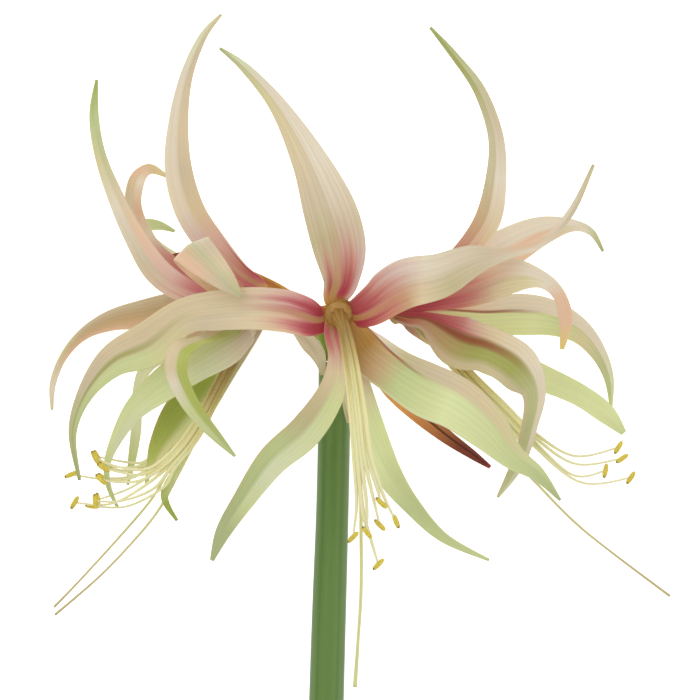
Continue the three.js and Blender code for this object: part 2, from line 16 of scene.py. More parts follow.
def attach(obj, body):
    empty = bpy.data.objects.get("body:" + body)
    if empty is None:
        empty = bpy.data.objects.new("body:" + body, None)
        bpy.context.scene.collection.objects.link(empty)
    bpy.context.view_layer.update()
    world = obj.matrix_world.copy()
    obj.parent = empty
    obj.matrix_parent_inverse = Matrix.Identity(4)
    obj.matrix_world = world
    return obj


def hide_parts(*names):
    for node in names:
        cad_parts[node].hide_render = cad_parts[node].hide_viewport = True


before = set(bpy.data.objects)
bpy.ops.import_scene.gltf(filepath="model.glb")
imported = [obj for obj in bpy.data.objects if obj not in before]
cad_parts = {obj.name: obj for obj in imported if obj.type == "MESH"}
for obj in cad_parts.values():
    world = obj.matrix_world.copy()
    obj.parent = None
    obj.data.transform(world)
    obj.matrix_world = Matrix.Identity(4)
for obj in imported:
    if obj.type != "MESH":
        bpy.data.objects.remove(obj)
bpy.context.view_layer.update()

# %% [markdown]
# ## Where the flower lies
# The flower was drawn round its umbel, the point on top of the stem where the stalks begin: x across,
# y up the stem, z towards the viewer of the front bloom. Then it was laid down: tipped back about the
# x axis until the cut end and two petals touch the table. The same turn and shift place every point here.

# %% Turn and shift from the flower's own axes to the table
SLOPE = math.radians(8.25)
UMBEL = Vector((-10.023, 124.974, 65.116))
LAY = Matrix.Translation(UMBEL / 1000) @ Matrix.Rotation(SLOPE, 4, "X") @ Matrix.Scale(0.001, 4)
FORWARD = Vector((0, 0, 1))


def on_table(point):
    """A point of the flower in millimetres, as a place on the table in metres."""
    return LAY @ Vector(point)


print("the umbel lies at", [round(1000 * c, 1) for c in on_table((0, 0, 0))], "mm")

# %% [markdown]
# ## Camera
# The portrait was taken square to the upright stem, so the camera looks along the flower's own z axis.
# A long lens far away keeps the petals' proportions, because near things hardly grow larger.

# %% Camera
SIGHT_CENTRE = (6.3, 5.04)
SIGHT_DISTANCE = 2500
SIGHT_WIDTH = 294

camera_data = bpy.data.cameras.new("portrait")
camera_data.sensor_width = 36
camera_data.lens = 36 * SIGHT_DISTANCE / SIGHT_WIDTH
camera = bpy.data.objects.new("portrait", camera_data)
bpy.context.scene.collection.objects.link(camera)
camera.matrix_world = (
    Matrix.Translation(on_table((*SIGHT_CENTRE, SIGHT_DISTANCE)))
    @ Matrix.Rotation(SLOPE, 4, "X")
)
camera_data.clip_end = 10
bpy.context.scene.camera = camera
print("lens", round(camera_data.lens), "mm")

# %% [markdown]
# ## Table and light
# The flower lies on a plain white table. A wide soft light hangs above it, slightly to the left and
# towards the blooms, and the bright room fills the shadows. The plain Standard view keeps the colours
# of the petals as they are mixed.

# %% Table and light
TABLE_DROP = 0.0004  # keeps the table's face just clear of the flower's lowest points
scene = bpy.context.scene
scene.view_settings.view_transform = "Standard"
scene.view_settings.look = "None"

table_mesh = bmesh.new()
bmesh.ops.create_grid(table_mesh, x_segments=1, y_segments=1, size=4)
table_data = bpy.data.meshes.new("table")
table_mesh.to_mesh(table_data)
table_mesh.free()
table = bpy.data.objects.new("table", table_data)
table.location.z = -TABLE_DROP
scene.collection.objects.link(table)


def soft_light(name, place, width, power, colour=(1, 1, 1)):
    """A square soft light at a place on the flower's own axes, aimed at the umbel."""
    data = bpy.data.lights.new(name, "AREA")
    data.size = width
    data.energy = power
    data.color = colour
    light = bpy.data.objects.new(name, data)
    light.location = on_table(place)
    light.rotation_mode = "QUATERNION"
    light.rotation_quaternion = (on_table((0, 20, 30)) - light.location).to_track_quat("-Z", "Y")
    scene.collection.objects.link(light)


soft_light("big_softbox", (-600, 750, 1600), 1.6, 15)
soft_light("side_fill", (1100, -300, 900), 1.0, 4)

room = bpy.data.worlds.new("bright_room")
room.use_nodes = True
room.node_tree.nodes["Background"].inputs["Color"].default_value = (1, 1, 1, 1)
room.node_tree.nodes["Background"].inputs["Strength"].default_value = 0.52
scene.world = room
print("two soft lights and a bright room")

# %% [markdown]
# ## Smooth lines through rows of numbers
# A petal is described by a few rows: where its middle line runs, how wide it is there and how far it
# is turned. A curve that passes through every row gives all places between them. Twice the number of
# steps then makes a finer petal of exactly the same shape.


# %% Places and directions along a line
def between(rows, t):
    """Smooth values between rows: row 0 at t = 0, row 1 at t = 1 and so on."""
    i = min(int(t), len(rows) - 2)
    f = t - i
    picked = [rows[max(0, min(len(rows) - 1, i + n))] for n in (-1, 0, 1, 2)]
    return [
        b + 0.5 * f * (c - a + f * (2 * a - 5 * b + 4 * c - d + f * (3 * (b - c) + d - a)))
        for a, b, c, d in zip(*picked)
    ]


def point_at(rows, t):
    return Vector(between(rows, t)[:3])


def direction_at(rows, t):
    ahead = point_at(rows, min(len(rows) - 1, t + 0.02))
    return (ahead - point_at(rows, max(0, t - 0.02))).normalized()


def smooth_step(value, low, high):
    share = max(0.0, min(1.0, (value - low) / (high - low)))
    return share * share * (3 - 2 * share)


def lerp(a, b, share):
    return a + (b - a) * share


print("halfway between 1 and 3 lies", between([[1], [3]], 0.5)[0])

# %% [markdown]
# ## From a flat grid to a closed skin
# A grid already knows which point is next to which, and it carries a map of two numbers over the
# surface. Rolling it up like paper and closing the seam gives a tube, a petal or an anther, depending
# on where each ring of points is put. The map stays on it: one number runs round the piece, the other
# along it, and the finishes are painted by these two.


# %% Roll a grid into a closed skin
def roll(mesh, rings, slot=0):
    """Adds rings of points to a bmesh as one closed skin. The first and last ring are points."""
    around, along = len(rings[0]), len(rings) - 1
    if not mesh.loops.layers.uv.get("UVMap"):
        mesh.loops.layers.uv.new("UVMap")
    made = bmesh.ops.create_grid(mesh, x_segments=around, y_segments=along, size=1, calc_uvs=True)
    for vertex in made["verts"]:
        i = round((vertex.co.x + 1) / 2 * around) % around
        j = round((vertex.co.y + 1) / 2 * along)
        vertex.co = rings[j][i]
    faces = {face for vertex in made["verts"] for face in vertex.link_faces}
    for face in faces:
        face.smooth = True
        face.material_index = slot
    bmesh.ops.remove_doubles(mesh, verts=made["verts"], dist=1e-5)
    faces = [face for face in faces if face.is_valid]
    bmesh.ops.recalc_face_normals(mesh, faces=faces)


def finish_piece(name, mesh, materials, nodes):
    """Lays a bmesh in millimetres on the table as a piece that stands for solids of the model."""
    bmesh.ops.transform(mesh, matrix=LAY, verts=mesh.verts)
    data = bpy.data.meshes.new(name)
    mesh.to_mesh(data)
    triangles = sum(len(face.verts) - 2 for face in mesh.faces)
    mesh.free()
    for material in materials:
        data.materials.append(material)
    piece = bpy.data.objects.new(name, data)
    scene.collection.objects.link(piece)
    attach(piece, "root")
    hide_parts(*nodes)
    print(f"{name}: {triangles} triangles")


print("a grid can be rolled into a skin")

# %% [markdown]
# ## Blades
# Petals, sheath and bracts are thin blades. The section of a blade is a flat lens: thickest at the
# midrib, thin and rounded at its two edges, with both edges lifted a little, so that it is a shallow
# channel. Where a petal leaves the throat it first faces the middle of its bloom.

# %% Blade shape
RIB_THICKNESS = 1.1
EDGE_THICKNESS = 0.5
BLADE_RINGS = 72
BLADE_SIDE = 14
SPREAD_ROWS = 2.2  # rows from the root over which the spread runs out
BULGE_ROWS = 2.4  # rows from the root over which the bulge runs out
ROOT_TURN_ROWS = 1.6  # rows over which a petal turns away from the middle of its bloom
RIPPLES = 19  # how often a wavy edge goes up and down, as an angle in radians


def blade_rings(
    rows, cup=0.22, crease=1.4, wave=0, spread=1, bulge=0, steady=None, root_side=None, foot=()
):
    """Rings of points for a blade through rows of [x, y, z, width, turn]. A row with no turn has 0.
    spread widens the blade at its root, and bulge pushes it sideways just above. steady is the way
    across of a blade that folds over. foot lists shifts of the first ring, each with its width, by
    which the blade goes on below its root."""
    rows = [[*row, 0][:5] for row in rows]
    rings = []
    for n in range(BLADE_RINGS):
        share = n / (BLADE_RINGS - 1)
        t = share * (len(rows) - 1)
        x, y, z, width, turn = between(rows, t)
        width *= lerp(spread, 1, smooth_step(t, 0, SPREAD_ROWS))
        aside = bulge * math.sin(math.pi * min(1, t / BULGE_ROWS))
        along = direction_at(rows, t)
        side = Vector(steady) if steady else along.cross(FORWARD)
        side = (side - along * side.dot(along)).normalized()
        side.rotate(Quaternion(along, -math.radians(turn)))
        if root_side:
            towards = root_side if root_side.dot(side) >= 0 else -root_side
            side = side.lerp(towards, 1 - smooth_step(t, 0, ROOT_TURN_ROWS))
            side = (side - along * side.dot(along)).normalized()
        face = side.cross(along)
        ring = []
        for k in range(2 * BLADE_SIDE):
            back = k >= BLADE_SIDE
            column = -math.cos(math.pi * (k % BLADE_SIDE) / BLADE_SIDE)
            column = -column if back else column
            ripple = wave * math.sin(share * RIPPLES + column) * math.sin(share * math.pi) * column**2
            lift = cup * width / 2 * abs(column) ** crease + ripple
            half = lerp(RIB_THICKNESS, EDGE_THICKNESS, abs(column) ** 0.7) / 2
            half *= math.sqrt(max(0.0, 1 - abs(column) ** 10)) * min(1, 0.4 + width / 6)
            step = side * (column * width / 2 + aside) + face * (lift + (-half if back else half))
            ring.append(Vector((x, y, z)) + step)
        rings.append(ring)
    middle = Vector(rows[0][:3])
    below = [
        [middle + (point - middle) * scale + shift for point in rings[0]] for shift, scale in foot
    ]
    rings = below + rings
    ends = [[sum(ring, Vector()) / len(ring)] * len(ring) for ring in (rings[0], rings[-1])]
    return [ends[0], *rings, ends[1]]


def blade(name, rows, material, slot, **shape):
    mesh = bmesh.new()
    roll(mesh, blade_rings(rows, **shape))
    finish_piece(name + "_skin", mesh, [material], [name])


print("the skin of a blade has", BLADE_RINGS * 2 * BLADE_SIDE, "points")

# %% [markdown]
# ## Finishes as sums
# A finish is worked out point by point on the surface. Written as nodes it is hard to read, so a small
# class lets a node's output take part in ordinary arithmetic and adds the Math nodes itself.


# %% Arithmetic with node outputs
class Wire:
    """An output of a node in a finish. Plus, minus, times, over and abs add Math nodes."""

    def __init__(self, finish, socket):
        self.finish = finish
        self.socket = socket

    def maths(self, operation, *values):
        return self.finish.node("ShaderNodeMath", {"operation": operation}, dict(enumerate(values)))

    def __add__(self, other):
        return self.maths("ADD", self, other)

    def __sub__(self, other):
        return self.maths("SUBTRACT", self, other)

    def __rsub__(self, other):
        return self.maths("SUBTRACT", other, self)

    def __mul__(self, other):
        return self.maths("MULTIPLY", self, other)

    def __truediv__(self, other):
        return self.maths("DIVIDE", self, other)

    def __abs__(self):
        return self.maths("ABSOLUTE", self)

    def sine(self):
        return self.maths("SINE", self)

    def above(self, level):
        return self.maths("GREATER_THAN", self, level)

    __radd__ = __add__
    __rmul__ = __mul__


def paint(code):
    """A colour such as "d8c8a0" as the linear light that a shader mixes."""
    shares = [int(code[i : i + 2], 16) / 255 for i in (0, 2, 4)]
    return (*[s / 12.92 if s <= 0.04045 else ((s + 0.055) / 1.055) ** 2.4 for s in shares], 1)


class Finish:
    """A material with one glossy skin shader, and the nodes that paint it."""

    def __init__(self, name, roughness=0.5, gloss=0.35, glow=0.0, glow_depth=0.002):
        self.material = bpy.data.materials.new(name)
        self.material.use_nodes = True
        self.tree = self.material.node_tree
        self.skin = self.tree.nodes["Principled BSDF"]
        self.skin.inputs["Roughness"].default_value = roughness
        self.skin.inputs["Specular IOR Level"].default_value = gloss
        self.skin.inputs["Subsurface Weight"].default_value = glow
        self.skin.inputs["Subsurface Radius"].default_value = (1.0, 0.7, 0.4)
        self.skin.inputs["Subsurface Scale"].default_value = glow_depth

    def node(self, kind, settings, inputs, output=0):
        made = self.tree.nodes.new(kind)
        for key, value in settings.items():
            setattr(made, key, value)
        for key, value in inputs.items():
            self.link(made.inputs[key], value)
        return Wire(self, made.outputs[output])

    def link(self, socket, value):
        if isinstance(value, Wire):
            self.tree.links.new(value.socket, socket)
        else:
            socket.default_value = value

    def mix(self, share, a, b, how="MIX"):
        settings = {"data_type": "RGBA", "blend_type": how, "clamp_factor": True}
        return self.node("ShaderNodeMix", settings, {0: share, 6: a, 7: b}, 2)

    def ease(self, value, low, high):
        """0 below low, 1 above high, and a smooth rise between them."""
        settings = {"interpolation_type": "SMOOTHSTEP"}
        return self.node("ShaderNodeMapRange", settings, {0: value, 1: low, 2: high, 3: 0, 4: 1})

    def ramp(self, value, stops):
        """A colour ramp; each stop is a place from 0 to 1 and the colour there."""
        made = self.tree.nodes.new("ShaderNodeValToRGB")
        elements = made.color_ramp.elements
        while len(elements) < len(stops):
            elements.new(1)
        for element, (place, colour) in zip(elements, stops):
            element.position = place
            element.color = colour
        self.link(made.inputs[0], value)
        return Wire(self, made.outputs[0])

    def noise(self, vector, scale=1.0, detail=2.0):
        return self.node("ShaderNodeTexNoise", {}, {"Vector": vector, "Scale": scale, "Detail": detail})

    def vector(self, x, y, z=0.0):
        return self.node("ShaderNodeCombineXYZ", {}, {0: x, 1: y, 2: z})

    def map(self):
        """The two numbers of the skin's map: round the piece and along it."""
        where = self.node("ShaderNodeUVMap", {"uv_map": "UVMap"}, {})
        parts = self.tree.nodes.new("ShaderNodeSeparateXYZ")
        self.tree.links.new(where.socket, parts.inputs[0])
        return Wire(self, parts.outputs[0]), Wire(self, parts.outputs[1])

    def place(self):
        """The point on the object itself, in metres."""
        return self.node("ShaderNodeTexCoord", {}, {}, 3)

    def paint(self, colour, roughness=None, height=None, relief=0.0002, strength=0.5):
        self.link(self.skin.inputs["Base Color"], colour)
        if roughness is not None:
            self.link(self.skin.inputs["Roughness"], roughness)
        if height is not None:
            inputs = {"Strength": strength, "Distance": relief, "Height": height}
            self.link(self.skin.inputs["Normal"], self.node("ShaderNodeBump", {}, inputs))
        return self.material


print("the finishes can be mixed")

# %% [markdown]
# ## Colours of the flower
# One box of paints serves all petals, so that they look like petals of one plant. A petal's recipe names
# the paints that follow each other from its root to its tip, each with its place in per cent.

# %% Paint box
PAINTS = {
    "ivory": "e5dac3",
    "cream": "dccba6",
    "butter": "d9cf9f",
    "beige": "d3c4a5",
    "khaki": "c6bb90",
    "sage": "c4c592",
    "tan": "c8a97c",
    "peach": "e6c3a3",
    "blush": "dcb8ab",
    "petal_pink": "d6bdb4",
    "salmon": "cb8672",
    "rose": "c96f74",
    "crimson": "ae3c47",
    "maroon": "8b2a33",
    "honey": "c9984c",
    "ochre": "b4873f",
    "lettuce": "dfe6ac",
    "leaf": "d0d79b",
    "mint": "dbdfb8",
    "apple": "c2cc8f",
    "fern": "b5be87",
    "sprout": "b6bf63",
    "moss": "a6a85a",
    "lime": "a3b04f",
    "tip": "abb36c",
    "yellow": "e6d07c",
    "rust": "9c5a3c",
    "russet": "944030",
}


def tint(name):
    """A paint by its name, or by its own six digits where only one finish uses it."""
    return paint(PAINTS.get(name, name))


def recipe(words):
    """Stops of a colour ramp from words such as "blush 20, cream 35, tip 100"."""
    pairs = [step.split() for step in words.split(",")]
    return [(int(place) / 100, tint(name)) for name, place in pairs]


print(len(PAINTS), "paints")


# %% [markdown]
# ## Petal skin
# Each petal has two halves with colours that are partly its own and partly painted light and shade:
# the half that faces the light is paler, the half turned from it greener. It also has an ochre midrib
# that starts at the throat, a crimson flush that runs out beside it in streaks, and fine veins from
# root to tip. Some petals get a line of painted shade in the crease where they fold over. The flush
# follows the veins, so its end is moved back and forth by a noise that is stretched along the petal.


# %% Petal finish
def petal_finish(
    name,
    left,
    right,
    flush=0.3,
    deep="crimson",
    rim="rose",
    sides=(1, 1),
    fade=0.3,
    fade_from=0.6,
    rib=0.22,
    rib_at=0.0,
    rib_reach=1.0,
    throat=0.08,
    lines=0.5,
    border=(0.0, 0.0),
    fold=None,
    fold_at=0.0,
    fold_width=0.12,
    fold_span=(0.1, 0.4),
    middle=0.08,
    seed=0.0,
    margins=(None, None),
    margin_from=0.62,
):
    """left and right are recipes for the two halves, partly the petal's own colours and partly painted
    light and shade: paler on the half that faces the light, greener on the half turned from it. They
    meet at the first number of border at the root and at the second from halfway up, in a blend that
    is middle wide. flush is how far the red runs up the petal, deep and rim its colours, sides its
    strength on each half, and fade how much of it is lost towards the margins. The ochre midrib lies
    at rib_at, is rib wide and runs up rib_reach of the flush. throat is how far the golden base goes,
    lines the strength of the veins. fold is the colour of a line beside the border: painted shade in
    the crease where the petal folds over, with the petal's own red where the crease is red. margins
    are the colours of the two edges from margin_from on. Places across the petal go from -1 to 1, and
    places along it from 0 at the root to 1 at the tip."""
    finish = Finish(name, roughness=0.46, gloss=0.3, glow=0.2, glow_depth=0.0012)
    around, along = finish.map()
    across = 1 - abs(around - 0.5) * 4
    edge = abs(across)
    streak = finish.noise(finish.vector(across * 7, along * 1.3, seed), 1.0, 2)
    fine = finish.noise(finish.vector(across * 24, along * 1.6, seed + 5), 1.0, 1)
    vein = (across * 38 + (streak - 0.5) * 12).sine() * fine

    # The two halves get colours that are partly the petal's own and partly painted light and shade: paler
    # on the half that faces the light, greener on the half turned from it.
    meeting = finish.ease(along, 0.0, 0.5) * (border[1] - border[0]) + border[0]
    beside = across - meeting
    half = finish.ease(beside + (streak - 0.5) * 0.16, -middle, middle)
    skin = finish.mix(half, finish.ramp(along, recipe(left)), finish.ramp(along, recipe(right)))
    for sign, margin in zip((-1, 1), margins):
        if margin:
            outer = finish.ease(across * sign, margin_from, margin_from + 0.33)
            skin = finish.mix(outer * 0.75, skin, tint(margin))

    strength = half * (sides[1] - sides[0]) + sides[0]
    lost = finish.ease(edge + (streak - 0.5) * 0.2, fade_from, fade_from + 0.4) * fade
    strength = strength * (1 - lost)
    reach = (1.08 - edge * 0.25) * flush + (streak - 0.5) * 0.16 + (fine - 0.5) * 0.05
    ratio = along / reach
    off_rib = abs(across - rib_at)
    flank = finish.ease(off_rib, rib * 0.25, rib * 1.1)
    halo = (1 - finish.ease(ratio, 0.75, 1.35)) * strength
    skin = finish.mix(halo * 0.6, skin, tint(rim))
    flush_colour = finish.mix(finish.ease(ratio, 0.55, 1.05), tint(deep), tint(rim))
    skin = finish.mix((1 - finish.ease(ratio, 0.75, 1.15)) * flank * strength, skin, flush_colour)

    midrib = 1 - finish.ease(off_rib, rib * 0.27, rib)
    midrib = midrib * (1 - finish.ease(along, flush * rib_reach * 0.3, flush * rib_reach))
    skin = finish.mix(midrib * 0.8, skin, tint("ochre"))
    base = 1 - finish.ease(along - edge * throat * 0.3, throat * 0.6, throat * 1.4)
    skin = finish.mix(base, skin, tint("honey"))
    # A line of painted shade in the crease where the petal folds over, mixed with the petal's own
    # red-brown where its crease is red.
    if fold:
        window = finish.ease(along, fold_span[0] * 0.6, fold_span[0])
        window = window * (1 - finish.ease(along, fold_span[1] * 0.75, fold_span[1] * 1.15))
        line = 1 - finish.ease(abs(beside - fold_at), 0.02, fold_width)
        skin = finish.mix(line * window * 0.85, skin, tint(fold))

    outside = around.above(0.5)
    skin = finish.mix(outside * (1 - finish.ease(edge, 0.1, 0.45)) * 0.35, skin, tint("fern"))
    shade = 0.955 + vein * (0.11 * lines) + fine * 0.09
    skin = finish.mix(1.0, skin, finish.vector(shade, shade, shade), "MULTIPLY")
    rough = 0.4 + fine * 0.16
    return finish.paint(skin, rough, vein * lines + fine * 0.6, relief=0.0002, strength=0.5)


print("petals can be painted")

# %% [markdown]
# ## A bloom and its axes
# A bloom faces some way, and its petals spring from a small circle round its middle. The angle of a
# root on that circle gives the first row of the petal.

# %% Bloom helpers
ROOT_CIRCLE = 5.3
ROOT_WIDTH = 5.5
ROOT_DEPTH = 0.6
SEED_STEP = 3.7  # gives every petal streaks of its own
# Steps below the root: inwards, forwards, share of the width.
FOOT_CURL = ((1.4, 0.2, 0.8), (0.7, 0.1, 0.95))


def axes_of(faces):
    """The way a bloom faces, the way up across it, and the way to the right across it."""
    axis = Vector(faces).normalized()
    up = (Vector((0, 1, 0)) - axis * axis.y).normalized()
    return axis, up, up.cross(axis)


def petals(bloom, throat, faces, listed):
    """Draws the petals of a bloom. Each is [name, root angle, rows, slot, shape, colours]."""
    axis, up, across = axes_of(faces)
    for n, (name, angle, rows, slot, shape, colours) in enumerate(listed):
        turn = math.radians(angle)
        outward = across * math.cos(turn) + up * math.sin(turn)
        root = Vector(throat) + outward * ROOT_CIRCLE - axis * ROOT_DEPTH
        node = f"{bloom}_petal_{name}"
        material = petal_finish(node + "_finish", seed=SEED_STEP * n + len(bloom), **colours)
        rows = [[*root, ROOT_WIDTH], *rows]
        foot = [(axis * ahead - outward * inwards, scale) for inwards, ahead, scale in FOOT_CURL]
        shape = {"spread": 1.3, "root_side": outward.cross(axis), "foot": foot, **shape}
        blade(node, rows, material, slot, **shape)


print("the petals of a bloom spring from a circle", 2 * ROOT_CIRCLE, "mm wide")

# %% [markdown]
# ## The front bloom
# It looks straight at the camera, so its petals carry the portrait: crimson flanks beside an ochre
# midrib, cream and beige above, light green below.

# %% Front bloom petals
FRONT_THROAT = (1.8, 19.9, 48)
FRONT_FACES = (0.02, -0.3, 0.95)

petals("front", FRONT_THROAT, FRONT_FACES, [
    ["up", 92, [
        [0.3, 27, 53, 7], [2.6, 34, 57, 14.5], [2, 47, 62, 21.5], [-2.3, 63, 65, 21.5],
        [-10.5, 83, 63, 14.5], [-23, 105, 55, 7.5], [-36.5, 121, 43, 4.2], [-47.6, 130.2, 30, 1.2],
    ], "petal_cream", {"spread": 1.7}, {
        "left": "beige 14, beige 32, khaki 43, beige 55, cream 66, butter 78, sage 90, tip 100",
        "right": "blush 14, petal_pink 34, beige 45, ivory 62, ivory 80, mint 90, tip 100",
        "flush": 0.38, "lines": 0.9, "throat": 0.15, "fade": 0.85, "fade_from": 0.3, "rib": 0.24,
        "rib_at": -0.15, "rib_reach": 1.2, "rim": "salmon",
    }],
    ["left", 170, [
        [-6.5, 19, 51, 8.5], [-14.5, 20.3, 55, 16.5], [-30, 22, 59, 17.5], [-46, 21.5, 56, 16.8],
        [-62.5, 18.6, 46.5, 15], [-77, 7.5, 39, 18.5], [-92, 0.5, 34, 13.4], [-103.5, -13, 28, 7],
        [-109.2, -29.5, 22, 3.4], [-106.6, -49.2, 15, 1.4],
    ], "petal_cream", {"crease": 1.1, "spread": 1.7, "bulge": -1.6}, {
        "left": "peach 24, cream 34, beige 46, butter 56, leaf 64, leaf 76, apple 86, fern 97",
        "right": "blush 24, cream 38, cream 68, beige 77, sage 87, tip 100",
        "flush": 0.26, "border": (0.0, -0.12), "fold": "moss", "fold_at": 0.12, "fold_width": 0.16,
        "fold_span": (0.72, 0.95), "fade": 0.35, "rib": 0.17, "rib_reach": 1.5, "throat": 0.085,
    }],
    ["right", 18, [
        [8.8, 21.6, 52, 8.5], [17, 25.2, 56, 16.5], [29, 32.2, 59, 20.3], [43, 35.4, 57, 18.2],
        [56.5, 41.7, 50, 13], [69.5, 44.7, 43, 5.5], [85, 49.2, 35, 3.8], [98, 62.2, 26, 3.2],
        [107.9, 82.2, 16, 1.4],
    ], "petal_cream", {"wave": 1.1, "spread": 1.7, "bulge": 1.6}, {
        "left": "petal_pink 22, petal_pink 32, ivory 42, beige 62, peach 75, ivory 87, khaki 100",
        "right": "salmon 26, tan 34, cream 40, khaki 48, beige 62, ivory 75, beige 87, butter 100",
        "flush": 0.32, "rim": "salmon", "middle": 0.3, "sides": (0.9, 1), "fade": 0.5, "fade_from": 0.6,
        "rib": 0.18, "rib_at": 0.2, "rib_reach": 1.1, "throat": 0.09,
    }],
    ["low_left", 226, [
        [-1, 11, 52, 6], [1, 1, 58, 7.6], [-1.7, -13, 62, 11.4], [-12, -28.3, 62, 14],
        [-25.7, -40.5, 58, 12.5], [-37.7, -57, 50, 9], [-46, -70, 40, 6.4], [-51, -82.2, 28, 1.8],
    ], "petal_cream", {}, {
        "left": "blush 20, cream 32, leaf 42, mint 66, leaf 76, fern 86, fern 100",
        "right": "blush 20, cream 33, khaki 48, apple 60, fern 80, fern 100",
        "flush": 0.26, "rim": "salmon", "deep": "rose", "margins": (None, "tan"), "throat": 0.09,
    }],
    ["low_right", 328, [
        [7.6, 14.6, 50.5, 7], [13, 5, 55, 17], [24.9, -3.9, 59, 18.8], [37.8, -11.4, 60, 22.4],
        [50, -17, 58, 21.5], [62, -26.6, 52, 18], [73, -38.7, 45, 10.5], [84, -46.3, 36, 6],
        [93.6, -57.3, 26, 1.2],
    ], "petal_cream", {"crease": 1.1}, {
        "left": "salmon 14, ivory 26, khaki 36, beige 48, cream 58, butter 72, leaf 86, fern 100",
        "right": "ochre 24, tan 31, apple 38, leaf 46, lettuce 54, leaf 74, apple 86, fern 100",
        "flush": 0.16, "sides": (1, 0.2), "throat": 0.14, "border": (-0.95, -0.22), "fold": "rust",
        "fold_width": 0.07, "fold_span": (0.04, 0.42), "margins": (None, "mint"),
    }],
    ["down", 276, [
        [3.6, 11, 46, 4.6], [6.7, -0.5, 48, 10], [10.4, -15.5, 50, 12.5], [15.4, -31, 49, 13],
        [22.2, -46, 46, 11], [31.4, -58.8, 42, 7.5], [45, -72.6, 35, 4.2], [64, -82.2, 28, 1.2],
    ], "petal_green", {}, {
        "left": "blush 20, ivory 35, lettuce 46, lettuce 56, leaf 66, apple 78, leaf 100",
        "right": "blush 20, ivory 36, lettuce 47, lettuce 60, apple 76, leaf 100",
        "flush": 0.28,
    }],
])

# %% [markdown]
# ## The right bloom
# It faces right, and its petals curl back over themselves. The petals nearest to the camera show a
# crimson root and a bright green inner half.

# %% Right bloom petals
RIGHT_THROAT = (25.6, 22.6, 6)
RIGHT_FACES = (0.93, -0.08, 0.36)

petals("right", RIGHT_THROAT, RIGHT_FACES, [
    ["up", 88, [
        [30.5, 31, 8, 7, -75], [39, 36, 8, 11, -60], [52.8, 46.6, 6, 14, -50], [62.6, 59.6, 3, 16, -45],
        [66.3, 75.6, -1, 15, -52], [66.7, 94.3, -5, 12, -55], [60.5, 113.8, -9, 8.5, -50],
        [50.4, 128.6, -12, 5, -45], [40.2, 141.2, -14, 1.4, -30],
    ], "petal_cream", {}, {
        "left": "salmon 30, tan 45, khaki 57, khaki 68, moss 84, tip 100",
        "right": "peach 32, cream 45, ivory 58, beige 70, sage 84, tip 100",
        "flush": 0.36, "rim": "salmon",
    }],
    ["back", 28, [
        [31, 28, -4.5, 6.5], [40, 30, -11, 11], [55, 37.7, -24, 16], [72.4, 48, -38, 17],
        [87.7, 55.8, -50, 12.5], [101.3, 58.6, -60, 5.6], [110.3, 55.9, -67, 3.1],
        [115.6, 47.8, -72.2, 1.2],
    ], "petal_blush", {}, {
        "left": "blush 35, ivory 55, ivory 78, sage 92, tip 100",
        "right": "salmon 35, peach 50, peach 62, cream 70, ivory 82, sage 92, tip 100",
        "flush": 0.33, "margins": ("ivory", None),
    }],
    ["near", 148, [
        [31, 25, 13, 7], [42, 27, 22, 11], [58, 31, 29, 15], [72.6, 35.7, 33, 15],
        [85.2, 34.4, 33, 7.4], [93, 28, 29, 5.4], [96, 17.5, 24, 5.7], [94.7, 5.5, 18, 1.8],
    ], "petal_blush", {"crease": 1.1}, {
        "left": "salmon 32, peach 45, ivory 57, ivory 68, peach 77, peach 88, yellow 97",
        "right": "salmon 34, cream 45, butter 57, ivory 66, peach 76, peach 88, yellow 97",
        "flush": 0.38,
    }],
    ["middle", 328, [
        [32, 21, -2, 6], [44, 20, -5, 10], [61, 19, -8, 15], [78, 20, -9, 17.5], [91.5, 18.5, -10, 15],
        [103, 13, -11, 10.5], [111, 4, -13, 7], [115.7, -7, -15, 4.2], [116.7, -19.5, -17, 1.2],
    ], "petal_cream", {"crease": 1.1}, {
        "left": "peach 25, ivory 42, ivory 76, mint 88, leaf 100",
        "right": "lettuce 30, lettuce 50, leaf 60, butter 70, sage 82, apple 100",
        "flush": 0.28, "sides": (1, 0.5), "border": (-0.5, -0.1), "fold": "rust", "fold_width": 0.08,
        "fold_span": (0.2, 0.5), "middle": 0.04,
    }],
    ["claw", 208, [
        [30.5, 18, 14, 6.5], [38.5, 16.6, 20, 8.6], [51.3, 8.5, 29, 21.5], [64, 5, 35, 19],
        [75.5, -2, 37, 19], [83, -13, 35, 14, -45], [81.4, -27.3, 29, 10, -50],
        [76.7, -41.6, 22, 6.5, -30], [68, -56.4, 14, 1.2],
    ], "petal_cream", {"crease": 1.1, "spread": 0.9}, {
        "left": "maroon 12, salmon 30, blush 38, cream 46, ivory 60, ivory 80, mint 100",
        "right": "rust 10, salmon 19, tan 27, moss 40, moss 56, sage 65, sage 78, leaf 100",
        "flush": 0.36, "deep": "crimson", "sides": (1, 0.1), "border": (-0.3, -0.2), "fold": "russet",
        "fold_at": 0.08, "fold_width": 0.2, "fold_span": (0.02, 0.56), "middle": 0.05, "throat": 0.02,
        "rib": 0.05, "margins": (None, "beige"), "margin_from": 0.25,
    }],
    ["low", 268, [
        [31, 16, 4, 6], [41.5, 11, 2, 9], [55.6, 5, 0, 12.5], [71.5, -0.8, -3, 14],
        [88.4, -7.2, -7, 11], [103, -13.9, -10, 9.4], [114.1, -21.7, -13, 8.4], [122, -30, -16, 2.6],
    ], "petal_green", {}, {
        "left": "blush 18, cream 28, butter 38, lettuce 50, lettuce 90, leaf 100",
        "right": "blush 18, cream 28, butter 38, lettuce 50, lettuce 80, leaf 100",
        "flush": 0.12, "deep": "rose", "rim": "blush",
    }],
])

# %% [markdown]
# ## The left bloom
# It faces left and a little forward. One petal folds over in front of it, one makes a claw, and a broad
# green one hangs behind the stamens.

# %% Left bloom petals
LEFT_THROAT = (-30.5, 22.6, 12)
LEFT_FACES = (-0.86, -0.1, 0.5)

